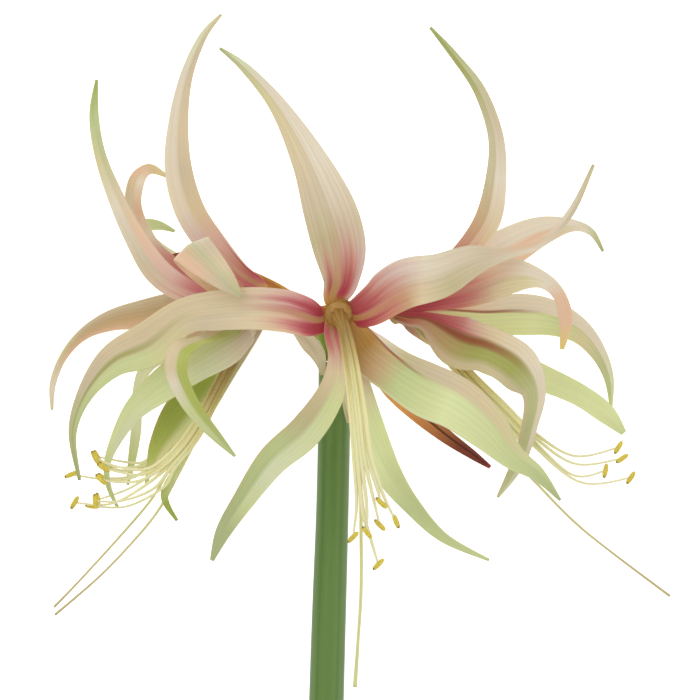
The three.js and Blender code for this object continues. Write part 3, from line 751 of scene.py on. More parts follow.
petals("left", LEFT_THROAT, LEFT_FACES, [
    ["up", 120, [
        [-37, 28.5, 12, 6.5, 70], [-46, 27.5, 16, 9, 50], [-60.4, 30, 18, 13, 40],
        [-73, 38.4, 17, 15, 40], [-82.7, 52.7, 14, 12.5, 42], [-91.2, 69.5, 10, 9.5, 42],
        [-98, 87, 5, 6.5, 40], [-101, 103.7, 0, 4.5, 25], [-100.3, 118.6, -4, 1.2],
    ], "petal_cream", {}, {
        "left": "blush 36, beige 50, ivory 65, butter 76, apple 86, lime 100",
        "right": "rose 33, blush 42, peach 56, cream 66, sage 77, apple 88, lime 100",
        "flush": 0.34, "deep": "rose",
    }],
    ["near", 60, [
        [-35.5, 27.5, 20, 6.5], [-40.5, 28, 29, 9], [-47, 33, 41, 12], [-55, 41, 50, 15],
        [-59.5, 47, 55.5, 17], [-59, 47.5, 60.5, 16.5], [-54, 42.5, 64.5, 14.5], [-48.3, 37, 67, 11.5],
        [-43, 31.8, 68, 7.5], [-38, 26.6, 68, 1.2],
    ], "petal_blush", {"steady": (0.84, 0.54, 0)}, {
        "left": "sage 18, tan 30, peach 42, peach 72, beige 86, khaki 100",
        "right": "sage 18, salmon 28, peach 38, ivory 52, beige 68, cream 80, khaki 100",
        "flush": 0.2, "middle": 0.2,
    }],
    ["claw", 0, [
        [-35.5, 20, 25, 6.5], [-43.4, 15, 35, 8], [-51, 10.2, 44, 7, -40], [-57.5, 7.8, 51.5, 7, -50],
        [-63.2, 5, 56, 9, -15], [-65, -0.8, 57, 9.5], [-64.4, -6.5, 55, 8.5], [-60.4, -15.5, 49, 7.5],
        [-54.4, -24.3, 42, 6], [-48, -31.8, 35, 4], [-41.5, -39, 28, 1.2],
    ], "petal_cream", {"crease": 1.1}, {
        "left": "rust 10, moss 20, sprout 36, sprout 78, apple 96",
        "right": "rust 10, tan 22, khaki 34, cream 48, cream 58, ivory 66, leaf 76, leaf 88, apple 100",
        "flush": 0.16, "middle": 0.12,
    }],
    ["broad", 300, [
        [-36, 14.5, 19, 8], [-40, 11, 23, 13], [-47, 6.5, 27, 18], [-59.5, -1.2, 27, 15.5],
        [-71.7, -9.6, 22, 13.6], [-83.7, -19.9, 15, 9], [-91.7, -32.6, 8, 5], [-95.6, -43.2, 3, 2.8],
        [-95, -52.5, 0, 2.2], [-91.2, -61.4, -2, 1.2],
    ], "petal_green", {}, {
        "left": "ivory 12, ivory 26, mint 38, lettuce 54, mint 70, leaf 84, apple 96",
        "right": "tan 14, sprout 22, leaf 36, lettuce 52, lettuce 70, leaf 80, apple 90, apple 100",
        "flush": 0.1, "middle": 0.3,
    }],
    ["down", 180, [
        [-37, 21, 3.8, 5.6], [-40, 12.5, 2, 7.6], [-46, 1.7, 0, 10], [-56.4, -11.1, -2, 15.2],
        [-66, -22.8, -4, 14.6], [-74.1, -35.4, -6, 8.6], [-78, -45.5, -7, 3], [-79.7, -51.8, -8, 1.2],
    ], "petal_green", {}, {
        "left": "blush 20, khaki 30, sage 44, leaf 62, butter 80, butter 92, sprout 100",
        "right": "blush 20, sprout 32, lime 50, lime 66, sprout 80, leaf 90, sprout 100",
        "flush": 0.2, "border": (-0.2, -0.3), "middle": 0.25, "margins": (None, "tan"),
        "margin_from": 0.6,
    }],
    ["narrow", 240, [
        [-32.4, 14, 9.6, 4.2], [-37, 6, 9.6, 4.4], [-45, -7, 9, 4.4], [-52.5, -20, 8.6, 4.2],
        [-59.5, -32.5, 8.3, 3.8], [-66, -44.5, 8.2, 3.4], [-71.4, -56, 8.2, 3.2],
        [-66.1, -66.4, 8.2, 1.2],
    ], "petal_cream", {}, {
        "left": "ivory 14, ivory 26, lettuce 44, lettuce 78, lime 90",
        "right": "ivory 14, ivory 26, lettuce 44, lettuce 78, lime 90",
        "flush": 0.1,
    }],
])

# %% [markdown]
# ## The back bloom
# It stands behind the left one, and one of its petals reaches down to the table behind the head.

# %% Back bloom petals
BACK_THROAT = (-31, 25.4, -28)
BACK_FACES = (-0.8, 0.1, -0.6)

petals("back", BACK_THROAT, BACK_FACES, [
    ["up", 92, [
        [-34, 33.5, -27.5, 6], [-41.2, 38.4, -22, 8.6], [-51.4, 49, -14, 12], [-60.9, 63.2, -9, 12.6],
        [-65.9, 81, -6, 11.6], [-66, 100, -6, 8.5], [-62.8, 119.6, -7, 5.5], [-56, 136.6, -9, 3.5],
        [-48, 146.6, -11, 1.2],
    ], "petal_cream", {}, {
        "left": "blush 28, petal_pink 38, ivory 48, ivory 78, mint 88, butter 98",
        "right": "blush 26, blush 36, cream 46, beige 56, cream 66, beige 84, butter 98",
        "flush": 0.3, "deep": "rose", "rim": "salmon", "fade": 0.6, "fold": "crimson", "fold_at": 0.6,
        "fold_width": 0.1, "fold_span": (0.08, 0.34),
    }],
    ["curl", 30, [
        [-38.5, 28.6, -25.3, 5.8], [-46, 30, -22.3, 7.5], [-60.6, 34.8, -18, 9], [-74.6, 45.2, -14, 8],
        [-81.7, 55.9, -11, 7.2], [-85, 66, -8, 7], [-84, 75, -8, 7], [-81.4, 79.7, -11, 5.5],
        [-77.4, 81.5, -16, 4], [-70.8, 78.3, -20, 1.2],
    ], "petal_blush", {}, {
        "left": "rose 34, ivory 44, ivory 56, cream 66, peach 78, butter 96",
        "right": "rose 36, ivory 48, peach 58, ivory 72, peach 82, butter 96",
        "flush": 0.36, "rim": "salmon",
    }],
    ["left", 325, [
        [-38, 21.8, -26.2, 5.8], [-51, 24, -26, 9], [-65.8, 23.7, -24, 12], [-80.5, 20.3, -21, 12.5],
        [-94.4, 17.6, -18, 9], [-106.2, 11.8, -15, 5.2], [-114.6, 2.2, -12, 3.4],
        [-119, -9.3, -10, 2.8], [-119.3, -20.3, -9, 1.2],
    ], "petal_cream", {"crease": 1.1}, {
        "left": "salmon 30, peach 44, peach 72, ivory 90, butter 100",
        "right": "salmon 28, beige 40, beige 66, butter 76, ivory 90, butter 100",
        "flush": 0.3, "fold": "tan", "fold_at": -0.1, "fold_width": 0.8, "fold_span": (0.3, 0.8),
    }],
    ["low", 262, [
        [-35, 18, -35, 5.5], [-45, 13, -39.5, 8.5], [-62, 6.7, -40, 10], [-75.6, 2.5, -38, 8],
        [-82.3, -5.6, -36, 5], [-84.4, -16.2, -34, 4.5], [-84.7, -29, -31, 4.5],
        [-86.3, -41.7, -28, 3.5], [-88, -52.2, -26, 1.2],
    ], "petal_green", {}, {
        "left": "blush 25, ivory 38, mint 54, mint 78, apple 88, tip 100",
        "right": "blush 25, beige 38, mint 56, mint 76, apple 88, tip 100",
        "flush": 0.24,
    }],
    ["far", 148, [
        [-37, 30, -39, 6.2], [-48, 32, -51, 12], [-64.7, 37.3, -62.5, 14], [-76, 45.5, -70.5, 10.5],
        [-83.3, 53.4, -72.8, 8.4], [-82, 58.6, -71, 6], [-76, 58.8, -69, 3.9], [-69.3, 56.3, -68, 1.2],
    ], "petal_green", {}, {
        "left": "blush 25, ivory 36, leaf 66, apple 100",
        "right": "blush 25, ivory 36, leaf 66, apple 100",
        "flush": 0.28,
    }],
    ["hidden", 205, [
        [-34, 22, -41, 6], [-38.7, 20.5, -50, 9], [-44.4, 18.5, -57, 12], [-51, 16.5, -60, 10],
        [-56, 13.5, -60, 6], [-59.8, 8.5, -56, 1.2],
    ], "petal_green", {}, {
        "left": "blush 30, cream 40, leaf 70, tip 100",
        "right": "blush 30, cream 40, apple 70, tip 100",
        "flush": 0.3,
    }],
])

# %% [markdown]
# ## Round pieces
# Stem, stalks, filaments and styles are round along their whole length. A ring of points is carried
# along the line and turned with it, so that the skin doesn't twist.


# %% Round skins
def limb_rings(rows, sides, stations, section=None):
    """Rings round a line. Each row is [x, y, z, radius]; section(angle, share) scales the radius."""
    rings = []
    side = None
    for n in range(stations):
        share = n / (stations - 1)
        t = share * (len(rows) - 1)
        x, y, z, radius = between(rows, t)
        along = direction_at(rows, t)
        if side is None:
            side = along.cross(FORWARD if abs(along.z) < 0.8 else Vector((1, 0, 0)))
        side = (side - along * side.dot(along)).normalized()
        up = along.cross(side)
        ring = []
        for k in range(sides):
            angle = 2 * math.pi * k / sides
            scale = section(angle, share) if section else 1
            outward = side * math.cos(angle) + up * math.sin(angle)
            ring.append(Vector((x, y, z)) + outward * radius * scale)
        rings.append(ring)
    ends = [[point_at(rows, t)] * sides for t in (0, len(rows) - 1)]
    return [ends[0], *rings, ends[1]]


print("round pieces can be drawn")

# %% [markdown]
# ## Stem
# The scape of an amaryllis is a smooth hollow tube with a waxy bloom. The cut end shows a pale wall
# round a dark hollow. Faint bands run along the skin.

# %% Stem finish and shape
STEM_LENGTH = 400
STEM_TOP, STEM_END = 6.8, 7.8
STEM_LEAN = -10.5
STEM_SIDES, STEM_RINGS = 48, 60
HOLLOW_DEPTH = 16
CUT_LIP = 0.1


def stem_finish():
    finish = Finish("stem_finish", roughness=0.42, gloss=0.4, glow=0.05)
    around, along = finish.map()
    bands = finish.noise(finish.vector((around * 2 * math.pi).sine() * 4, along * 0.8, 1.0), 1.0, 2)
    fine = finish.noise(finish.vector((around * 2 * math.pi).sine() * 30, along * 6, 4.0), 1.0, 2)
    skin = finish.mix(finish.ease(bands, 0.3, 0.7), paint("4f7033"), paint("63833a"))
    skin = finish.mix(finish.ease(fine, 0.5, 0.75) * 0.2, skin, paint("7d9656"))
    skin = finish.mix((1 - finish.ease(along, 0.0, 0.06)) * 0.35, skin, paint("93a45a"))
    return finish.paint(skin, 0.36 + fine * 0.18, fine, relief=0.0001, strength=0.4)


def cut_finish():
    finish = Finish("cut_finish", roughness=0.6, glow=0.1)
    spot = finish.noise(finish.place(), 900, 3)
    skin = finish.mix(finish.ease(spot, 0.4, 0.65), paint("b9c98a"), paint("dfe3b8"))
    return finish.paint(skin, 0.6, spot, relief=0.0002)


def stem():
    rows = [
        [STEM_LEAN, -STEM_LENGTH, 0, STEM_END],
        [-3.6, -142, 0, (STEM_TOP + STEM_END) / 2],
        [-1, -58, 0, STEM_TOP],
        [0, 0, 0, STEM_TOP],
    ]
    rings = limb_rings(rows, STEM_SIDES, STEM_RINGS)
    cut_centre = rings[0][0]
    along = direction_at(rows, 0)
    first = rings[1]

    def shrunk(scale, depth):
        return [cut_centre + (point - cut_centre) * scale + along * depth for point in first]

    hollow = [shrunk(0.0, HOLLOW_DEPTH), shrunk(0.56, HOLLOW_DEPTH), shrunk(0.6, 3), shrunk(0.62, 0.3)]
    wall = [shrunk(0.66, 0), shrunk(0.965, 0), shrunk(0.99, 0.12), shrunk(1, 0.4)]
    mesh = bmesh.new()
    roll(mesh, [*hollow, *wall, *rings[2:]])
    for face in mesh.faces:
        centre = face.calc_center_median()
        on_cut = centre.y < -STEM_LENGTH + CUT_LIP
        from_middle = (centre - cut_centre).cross(along).length
        in_hollow = from_middle < STEM_END * 0.8 and centre.y < -STEM_LENGTH + HOLLOW_DEPTH + 4
        if on_cut or in_hollow:
            face.material_index = 1
    finish_piece("stem_skin", mesh, [stem_finish(), cut_finish()], ["stem"])


stem()

# %% [markdown]
# ## Stalks and ovaries
# Each bloom stands on a short fleshy stalk that swells into a three-sided ovary just behind the petals.

# %% Stalks
STALK_RADIUS = 2.4
OVARY_RADIUS = 4.3
CORE_RADIUS = 4.4
STALK_SIDES, STALK_RINGS = 30, 48
# From the stalk through the ovary to the middle of the bloom: distance behind the throat, and radius.
OVARY_OUTLINE = (
    (15, OVARY_RADIUS * 0.75),
    (11, OVARY_RADIUS),
    (7, OVARY_RADIUS * 0.8),
    (3, CORE_RADIUS * 0.8),
    (0, CORE_RADIUS),
)
# The rounded end of a stalk: share of its last width, and height over the throat.
STALK_END = ((1.08, -0.45), (1.1, -0.6), (1.0, -0.7), (0.6, -0.75), (0.0, -0.75))


def stalk_finish():
    finish = Finish("stalk_finish", roughness=0.4, gloss=0.4, glow=0.1)
    around, along = finish.map()
    streak = finish.noise(finish.vector(around * 18, along * 2, 2.0), 1.0, 2)
    skin = finish.mix(streak, paint("6c9022"), paint("8fae3c"))
    skin = finish.mix(finish.ease(along, 0.74, 0.84), skin, tint("ochre"))
    return finish.paint(skin, 0.36 + streak * 0.15, streak, relief=0.0002, strength=0.4)


STALK_FINISH = stalk_finish()


def stalk(bloom, route, throat, faces):
    axis = axes_of(faces)[0]
    middle = Vector(throat)
    behind = [[*(middle - axis * distance), radius] for distance, radius in OVARY_OUTLINE]
    rows = [[*point, STALK_RADIUS] for point in route] + behind

    def three_sided(angle, share):
        swell = smooth_step(share, 0.45, 0.6) * (1 - smooth_step(share, 0.82, 0.95))
        return 1 - 0.07 * swell * (1 - math.cos(3 * angle))

    rings = limb_rings(rows, STALK_SIDES, STALK_RINGS, three_sided)[:-1]
    last = rings[-1]
    for width, height in STALK_END:
        rings.append([middle + (point - middle) * width + axis * height for point in last])
    mesh = bmesh.new()
    roll(mesh, rings)
    node = f"{bloom}_stalk_and_ovary"
    finish_piece(f"{bloom}_stalk_skin", mesh, [STALK_FINISH], [node])


FRONT_STALK = [(0.3, 0.7, 3.7), (0.3, 6.5, 4.8), (0.6, 13, 11.5), (1, 20, 21.5)]
RIGHT_STALK = [(3.7, 0.4, 0), (3.8, 8, -0.3), (7.5, 18.5, -1)]
LEFT_STALK = [(-3.7, 0.5, 0), (-3.9, 8, 0.2), (-9.5, 19, 2)]
BACK_STALK = [(-0.3, 0.75, -3.8), (-0.8, 8, -5), (-6.5, 17, -10)]

stalk("front", FRONT_STALK, FRONT_THROAT, FRONT_FACES)
stalk("right", RIGHT_STALK, RIGHT_THROAT, RIGHT_FACES)
stalk("left", LEFT_STALK, LEFT_THROAT, LEFT_FACES)
stalk("back", BACK_STALK, BACK_THROAT, BACK_FACES)

# %% [markdown]
# ## Stamens
# Six filaments rise from a low golden mound, run together in a bundle and part near their ends. On each
# swings an anther: two golden lobes with a furrow between them, fixed at its middle.

# %% Sizes of mound, filaments and anthers
SEAT = 0.35
STAMEN_RING = 2.55
STAMEN_RING_THICKNESS = 0.75
# The mound: radius, and height over the foot of the stamens.
MOUND = (
    (0, -2.3), (6.0, -2.3), (6.9, -0.9), (6.5, 0.1), (5.7, 0.9),
    (4.6, 1.6), (3.4, 2.2), (2.0, 2.6), (0, 2.8),
)
MOUND_SIDES = 24
FILAMENT_RADIUS = 0.62
FILAMENT_SIDES = 10
FILAMENT_ROOT = (2.0, 1.8, 1.55)  # swelling of the first places of a filament
FILAMENT_BODY, FILAMENT_TIP = 1.45, 0.66  # swelling in the bundle and at the anther
FILAMENT_SINK, FILAMENT_RISE, FILAMENT_LEAN = 1.2, 6, 0.5  # how it leaves the mound
FILAMENT_STAGGER = 0.45
FILAMENT_SPACING = 1.35
BUNDLE_SPREAD = (0.55, 0.7, 0.85, 1.0)  # how far apart they run at each place of the bundle
FIRST_ANGLE, ANGLE_STEP = -30, 48  # where they stand round the mound, in degrees
ANTHER_LENGTH = 6.4
ANTHER_RADIUS = 1.15
ANTHER_RINGS, ANTHER_SIDES = 15, 16
print("the bundle of stamens is about", round(5 * FILAMENT_SPACING, 1), "mm wide")


# %% Finishes of the stamens
FILAMENT_COLOURS = (
    "8f6a2c 0, a88340 14, a07e3a 31, bda252 39, dccd80 46, ebe4a4 58, e6e2b0 80, dfd9b0 100"
)


def filament_finish():
    finish = Finish("filament_finish", roughness=0.45, gloss=0.35, glow=0.3, glow_depth=0.001)
    around, along = finish.map()
    streak = finish.noise(finish.vector(around * 6, along * 5, 0.0), 1.0, 2)
    pale = streak * finish.ease(along, 0.2, 0.5) * 0.4
    skin = finish.mix(pale, finish.ramp(along, recipe(FILAMENT_COLOURS)), paint("f6f2cf"))
    return finish.paint(skin, 0.4 + streak * 0.15, streak, relief=0.0001, strength=0.3)


def anther_finish():
    finish = Finish("anther_finish", roughness=0.8, gloss=0.15)
    place = finish.place()
    grain = finish.noise(place, 2600, 3)
    patch = finish.noise(place, 260, 2)
    along = finish.map()[1]
    skin = finish.mix(finish.ease(grain, 0.35, 0.7), paint("d0b83e"), paint("f3e070"))
    skin = finish.mix(finish.ease(patch, 0.5, 0.75) * 0.5, skin, paint("aa983e"))
    skin = finish.mix((1 - finish.ease(along, 0.04, 0.2)) * 0.8, skin, paint("5f4a24"))
    return finish.paint(skin, 0.85, grain, relief=0.0003, strength=0.8)


def throat_finish():
    finish = Finish("throat_finish", roughness=0.5, gloss=0.2, glow=0.3)
    spot = finish.noise(finish.place(), 700, 3)
    skin = finish.mix(finish.ease(spot, 0.35, 0.7), paint("b08848"), paint("bc9454"))
    return finish.paint(skin, 0.45 + spot * 0.15, spot, relief=0.0001, strength=0.2)


THROAT_FINISH = throat_finish()
FILAMENT_FINISH = filament_finish()
ANTHER_FINISH = anther_finish()
print("mound, filaments and anthers have their colours")


# %% Shape of the stamens
def anther(mesh, place, pointing):
    """Two lobes side by side with a furrow between them, across the end of a filament."""
    swing = Vector((0, 1, 0)).rotation_difference(Vector(pointing).normalized())
    rings = []
    for n in range(ANTHER_RINGS):
        rise = -1 + 2 * n / (ANTHER_RINGS - 1)
        fullness = math.sqrt(max(0.0, 1 - abs(rise) ** 2.6))
        bend = 0.5 * rise * rise
        ring = []
        for k in range(ANTHER_SIDES):
            angle = 2 * math.pi * k / ANTHER_SIDES
            furrow = 0.22 * math.cos(angle) ** 8
            radius = ANTHER_RADIUS * 0.92 * fullness * (1 - furrow)
            height = rise * ANTHER_LENGTH / 2
            point = Vector((radius * math.sin(angle), height, radius * math.cos(angle)))
            point.z -= bend * 0.6
            ring.append(Vector(place) + swing @ point)
        rings.append(ring)
    roll(mesh, rings, 1)


def stamens(bloom, throat, faces, bundle, ends, spacing=FILAMENT_SPACING, taper=None):
    """Each of ends is the way of one filament on its own and the way its anther points. A filament
    thins over its last taper steps, or from the end of the bundle on."""
    axis, up, across = axes_of(faces)
    foot = Vector(throat) + axis * (SEAT + STAMEN_RING_THICKNESS)

    def towards(angle):
        return across * math.cos(angle) + up * math.sin(angle)

    mesh = bmesh.new()
    turns = [2 * math.pi * k / MOUND_SIDES for k in range(MOUND_SIDES)]
    roll(mesh, [
        [foot + towards(turn) * radius + axis * height for turn in turns] for radius, height in MOUND
    ], 2)
    sideways = direction_at(bundle, 0).cross(FORWARD).normalized()
    outwards = [towards(math.radians(FIRST_ANGLE + ANGLE_STEP * n)) for n in range(len(ends))]
    outwards.sort(key=lambda outward: outward.dot(sideways))
    for n, (alone, pointing) in enumerate(ends):
        outward = outwards[n]
        root = foot + outward * STAMEN_RING
        line = [root - axis * FILAMENT_SINK, root + axis * FILAMENT_RISE - outward * FILAMENT_LEAN]
        shift = (n - (len(ends) - 1) / 2) * spacing
        for m, point in enumerate(bundle):
            step = direction_at(bundle, m).cross(FORWARD).normalized() * shift * BUNDLE_SPREAD[m]
            step.z += FILAMENT_STAGGER * math.copysign(1, outward.z)
            line.append(Vector(point) + step)
        line += [Vector(point) for point in alone]
        last = len(line) - 1
        start = last - taper if taper else len(bundle)
        swells = list(FILAMENT_ROOT)
        for i in range(len(swells), len(line)):
            swells.append(lerp(FILAMENT_BODY, FILAMENT_TIP, smooth_step(i, start, last)))
        rows = [[*point, FILAMENT_RADIUS * swell] for point, swell in zip(line, swells)]
        roll(mesh, limb_rings(rows, FILAMENT_SIDES, 6 * len(rows)))
        anther(mesh, line[-1], pointing)
    materials = [FILAMENT_FINISH, ANTHER_FINISH, THROAT_FINISH]
    finish_piece(f"{bloom}_stamens_skin", mesh, materials, [f"{bloom}_stamens"])


# %% Stamens of the four blooms
# Each bundle lists the places through which the six filaments run side by side.
FRONT_BUNDLE = [[4, 13, 63], [6.8, -1, 76], [9.3, -19.3, 82], [11.2, -37.6, 84]]
RIGHT_BUNDLE = [[42, 9, 13], [55, -5.4, 17], [68.6, -19.4, 18], [81, -32, 18]]
LEFT_BUNDLE = [[-39.5, 8, 14], [-49.6, -12.3, 13], [-59, -30, 12.6], [-69, -42, 12]]
BACK_BUNDLE = [[-44, 13, -27], [-55, -10, -17], [-67.6, -32, -14], [-77, -43, -14]]

stamens("front", FRONT_THROAT, FRONT_FACES, FRONT_BUNDLE, [
    [[[19.5, -53, 84.5], [25, -64.5, 84]], [-0.4, 1, 0]],
    [[[17, -50, 85], [19, -57, 85]], [1, -1, 0]],
    [[[15, -52, 84], [18.4, -66, 84]], [1, -1, 0]],
    [[[13, -57, 84.5], [13.2, -69, 84]], [0.8, -1, 0]],
    [[[11.5, -60, 83.5], [14.8, -72, 83.5], [17.8, -82, 83]], [1, 1, 0]],
    [[[9, -57, 83], [7.5, -71, 82.5]], [1, 1, 0]],
], taper=1.6)
stamens("right", RIGHT_THROAT, RIGHT_FACES, RIGHT_BUNDLE, [
    [[[100, -39.2, 18], [118.2, -35.6, 18]], [0.6, 1, 0]],
    [[[100, -42.4, 18], [119.8, -40.2, 18]], [1, 0.7, 0]],
    [[[99, -47, 18], [112.8, -45.3, 18]], [0.2, 1, 0]],
    [[[102, -50, 18], [123.4, -48.2, 18]], [0.6, 0.9, 0]],
    [[[79.5, -37.5, 16.5], [76.2, -44, 16]], [0.5, 0.86, 0]],
    [[[80, -40, 17]], [0.6, -1, 0]],
])
stamens("left", LEFT_THROAT, LEFT_FACES, LEFT_BUNDLE, [
    [[[-72, -52.6, 11], [-87, -60.4, 8], [-101.6, -60.4, 6.5]], [1, -0.1, 0]],
    [[[-76, -53, 10.5], [-89, -58, 12.5], [-100.1, -58.1, 13.6]], [0.15, -1, 0]],
    [[[-80, -52, 10], [-94, -59.4, 9.8], [-108.9, -58.8, 10]], [0.5, 0.85, 0]],
    [[[-80, -49, 11], [-90, -50.3, 11], [-97.9, -49.1, 11]], [0.7, -0.7, 0]],
    [[[-80, -47, 10], [-90, -46, 12], [-96.8, -44.1, 12.5]], [0.85, -0.5, 0]],
    [[[-80, -45, 11], [-92, -43.5, 9], [-100.4, -39.9, 9]], [0.45, -0.9, 0]],
], spacing=1.15)
stamens("back", BACK_THROAT, BACK_FACES, BACK_BUNDLE, [
    [[[-86, -53, -14], [-100.2, -58.2, -14]], [0.15, -1, 0]],
    [[[-87, -48.5, -12], [-97.9, -49.1, -12]], [0.7, -0.7, 0]],
    [[[-90, -50, -16], [-111.6, -47.6, -17]], [1, 0.4, 0]],
    [[[-88, -46, -16], [-96.8, -44.2, -17]], [0.85, -0.5, 0]],
    [[[-86, -44.5, -13], [-96.6, -44, -11.5]], [0.85, -0.5, 0]],
    [[[-86, -42.5, -12], [-100.4, -40, -13]], [0.45, -0.9, 0]],
], spacing=1.1)

# %% [markdown]
# ## Styles
# One long style leaves the middle of each bloom below the stamens and ends in a small pale stigma.

# %% Styles
STYLE_RADIUS = 0.6
STYLE_SIDES = 12
STYLE_FOOT = 1.5  # swelling at the foot
STYLE_END = {"front": 1.05, "right": 0.6, "left": 0.6, "back": 0.6}  # swelling at the end
STIGMA = 1.4  # swelling of the stigma


def style_finish(name, tip):
    finish = Finish(name, roughness=0.42, gloss=0.35, glow=0.2, glow_depth=0.001)
    around, along = finish.map()
    streak = finish.noise(finish.vector(around * 5, along * 8, 0.0), 1.0, 2)
    stops = recipe(f"b89c50 0, d9d69c 40, d6d596 65, {tip} 90")
    skin = finish.mix(streak * 0.3, finish.ramp(along, stops), paint("e4e0b4"))
    return finish.paint(skin, 0.4 + streak * 0.15, streak, relief=0.0001, strength=0.3)


STYLE_FINISHES = {"front": style_finish("style_finish", "d2d290")}
for bloom in ("right", "left", "back"):
    STYLE_FINISHES[bloom] = style_finish(f"{bloom}_style_finish", "bfae78")


def style(bloom, throat, faces, route):
    axis = axes_of(faces)[0]
    foot = Vector(throat) + axis * SEAT
    line = [foot, foot + axis * 3] + [Vector(point) for point in route]
    rows = []
    for n, point in enumerate(line):
        rows.append([*point, STYLE_RADIUS * lerp(STYLE_FOOT, STYLE_END[bloom], n / len(line))])
    rows[-1][3] *= STIGMA
    mesh = bmesh.new()
    roll(mesh, limb_rings(rows, STYLE_SIDES, 8 * len(rows)))
    node = f"{bloom}_style"
    finish_piece(node + "_skin", mesh, [STYLE_FINISHES[bloom]], [node])


style("front", FRONT_THROAT, FRONT_FACES, [
    (3.4, 9.5, 58.5), (6, -2, 67), (8.7, -23.5, 74), (10.4, -48, 76),
    (10.8, -68, 76), (10.8, -93, 76), (9.6, -113, 76), (8.3, -132.2, 76),
])
style("right", RIGHT_THROAT, RIGHT_FACES, [
    (35, 13.2, 6), (47, 0, 9), (61.6, -21, 12), (77.4, -43, 12),
    (85.7, -52.2, 12), (100.3, -67, 12), (115, -79, 12), (140, -97.8, 12),
])
style("left", LEFT_THROAT, LEFT_FACES, [
    (-36.8, 12.5, 8.6), (-41, 1.7, 5.6), (-51.8, -20, 4.2), (-65.8, -47.2, 4.2),
    (-73.4, -61.2, 4.5), (-83, -73.4, 4.5), (-98.5, -89.7, 4.5), (-117.4, -106, 4.5),
])
style("back", BACK_THROAT, BACK_FACES, [
    (-38, 14, -28), (-44, 1, -25), (-57.3, -21.2, -21.5), (-70.8, -46.5, -20),
    (-78.4, -59, -20), (-91.2, -74, -20), (-108, -92.4, -20), (-119, -103.8, -20),
])

# %% [markdown]
# ## Dry sheath and bracts
# The sheath that held the bud has split into two dry halves, orange where light comes through and dark
# brown where they are folded. Between the stalks stand two papery bracts.


# %% Finish of dry pieces
def dry_finish(name, colours, seed, fold, fold_at=0.0, strength=0.7, fold_width=0.4):
    """colours is the recipe from root to tip, and fold the colour of a dark line along the piece."""
    finish = Finish(name, roughness=0.6, gloss=0.25, glow=0.15, glow_depth=0.001)
    around, along = finish.map()
    across = 1 - abs(around - 0.5) * 4
    streak = finish.noise(finish.vector(across * 9, along * 2.5, seed), 1.0, 3)
    line = 1 - finish.ease(abs(across - fold_at), 0.03, fold_width)
    skin = finish.ramp(along, recipe(colours))
    skin = finish.mix(line * strength * finish.ease(along, 0.3, 0.65), skin, tint(fold))
    shade = 0.8 + streak * 0.36
    skin = finish.mix(1.0, skin, finish.vector(shade, shade, shade), "MULTIPLY")
    return finish.paint(skin, 0.5 + streak * 0.2, streak, relief=0.0005, strength=0.7)


print("dry pieces can be painted")

# %% Right half of the sheath
SHEATH_SHAPE = {"cup": 0.3, "wave": 0.6}

SHEATH_RIGHT_ROWS = [
    [4.8, 1.5, -4.4, 2.6], [9, 2.8, -5.4, 4.5], [16.2, -2.6, -4.5, 6], [24.7, -12.6, 4, 7.4],
    [35.2, -21.7, 9, 7.8], [46.2, -30.8, 10.5, 6], [57, -38.4, 10, 4], [65, -44, 8, 1.6],
]
SHEATH_RIGHT_COLOURS = "b9772f 0, ffc67c 30, f8b46a 50, d08a54 64, 8a4632 78, 823634 93, d0646a 100"

skin = dry_finish("sheath_right_finish", SHEATH_RIGHT_COLOURS, 1.0, "4a2018", -0.1, 0.85, 0.16)
blade("sheath_right", SHEATH_RIGHT_ROWS, skin, "sheath_brown", **SHEATH_SHAPE)

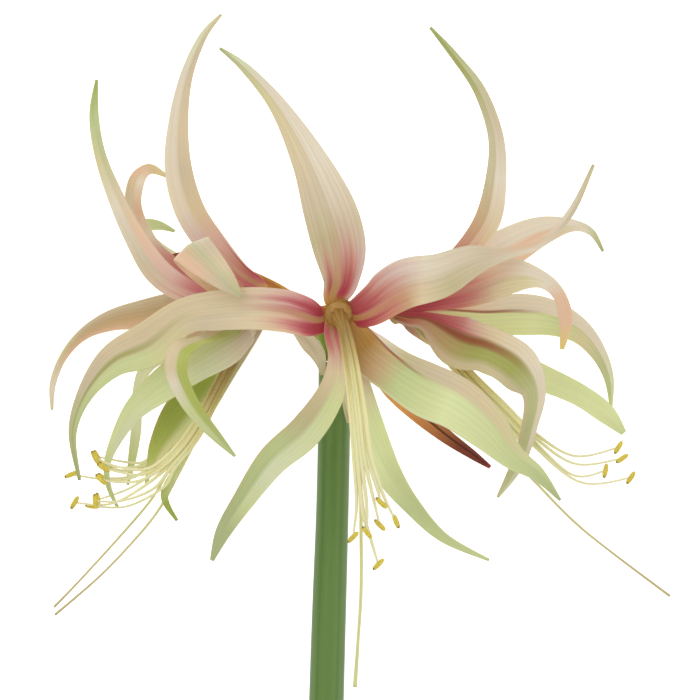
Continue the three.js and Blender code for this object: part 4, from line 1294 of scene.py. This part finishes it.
# %% Left half of the sheath
SHEATH_LEFT_ROWS = [
    [-4.4, 1.1, -4.6, 3.4], [-6.5, 4, -10, 7], [-10, 13, -25, 8.5], [-14.6, 21.6, -36, 7.6],
    [-23, 29.6, -43, 5.6], [-36, 36.3, -46, 5], [-51.4, 41.8, -46, 5], [-63, 45.2, -45, 4],
    [-71.5, 44.8, -44, 1.2],
]
SHEATH_LEFT_COLOURS = "b9872f 0, d9a640 45, c98a5a 75, 7a3a2a 90, 5e2a20 100"

skin = dry_finish("sheath_left_finish", SHEATH_LEFT_COLOURS, 7.0, "b05a3c", 0.2)
blade("sheath_left", SHEATH_LEFT_ROWS, skin, "sheath_brown", **SHEATH_SHAPE)

# %% The two bracts
BRACT_LEFT_ROWS = [
    [-5.3, -5.5, 5.7, 1.6], [-5.7, -1, 6.9, 4], [-7.6, 4, 9.5, 6.5], [-11.5, 8.5, 12.5, 7],
    [-17.5, 13, 13.5, 1.2],
]
skin = dry_finish("bract_left_finish", "c9bf94 0, ddd0b2 40, e6d9c0 100", 12.0, "c2ad88", 0.0, 0.4)
blade("bract_left", BRACT_LEFT_ROWS, skin, "bract_paper")

BRACT_RIGHT_ROWS = [
    [4.6, 1.1, 4.6, 2.2], [5.4, 3.2, 7.2, 2.4], [6.2, 2.8, 10.4, 2.8], [6.2, -0.8, 12.6, 3.2],
    [5.2, -6.5, 12.4, 3.6], [4.4, -13, 11.2, 3.4], [4.8, -19.5, 10.2, 2.6], [5.5, -25.5, 9.8, 1],
]
skin = dry_finish("bract_right_finish", "c9bf94 0, d8c8a0 40, d9caa2 100", 15.0, "b59c6c", 0.0, 0.5)
blade("bract_right", BRACT_RIGHT_ROWS, skin, "bract_paper")

# %% [markdown]
# ## Table finish
# The table is a matt white sheet that glows a little, like the lit paper under a product portrait, so
# that shadows on it stay pale.

# %% Table finish
TABLE_GLOW = 0.55


def table_finish():
    finish = Finish("table_finish", roughness=0.9, gloss=0.1)
    finish.skin.inputs["Emission Color"].default_value = (1, 1, 1, 1)
    finish.skin.inputs["Emission Strength"].default_value = TABLE_GLOW
    grain = finish.noise(finish.place(), 40, 3)
    return finish.paint(finish.mix(grain, paint("fbfbfa"), paint("ffffff")))


table.data.materials.append(table_finish())
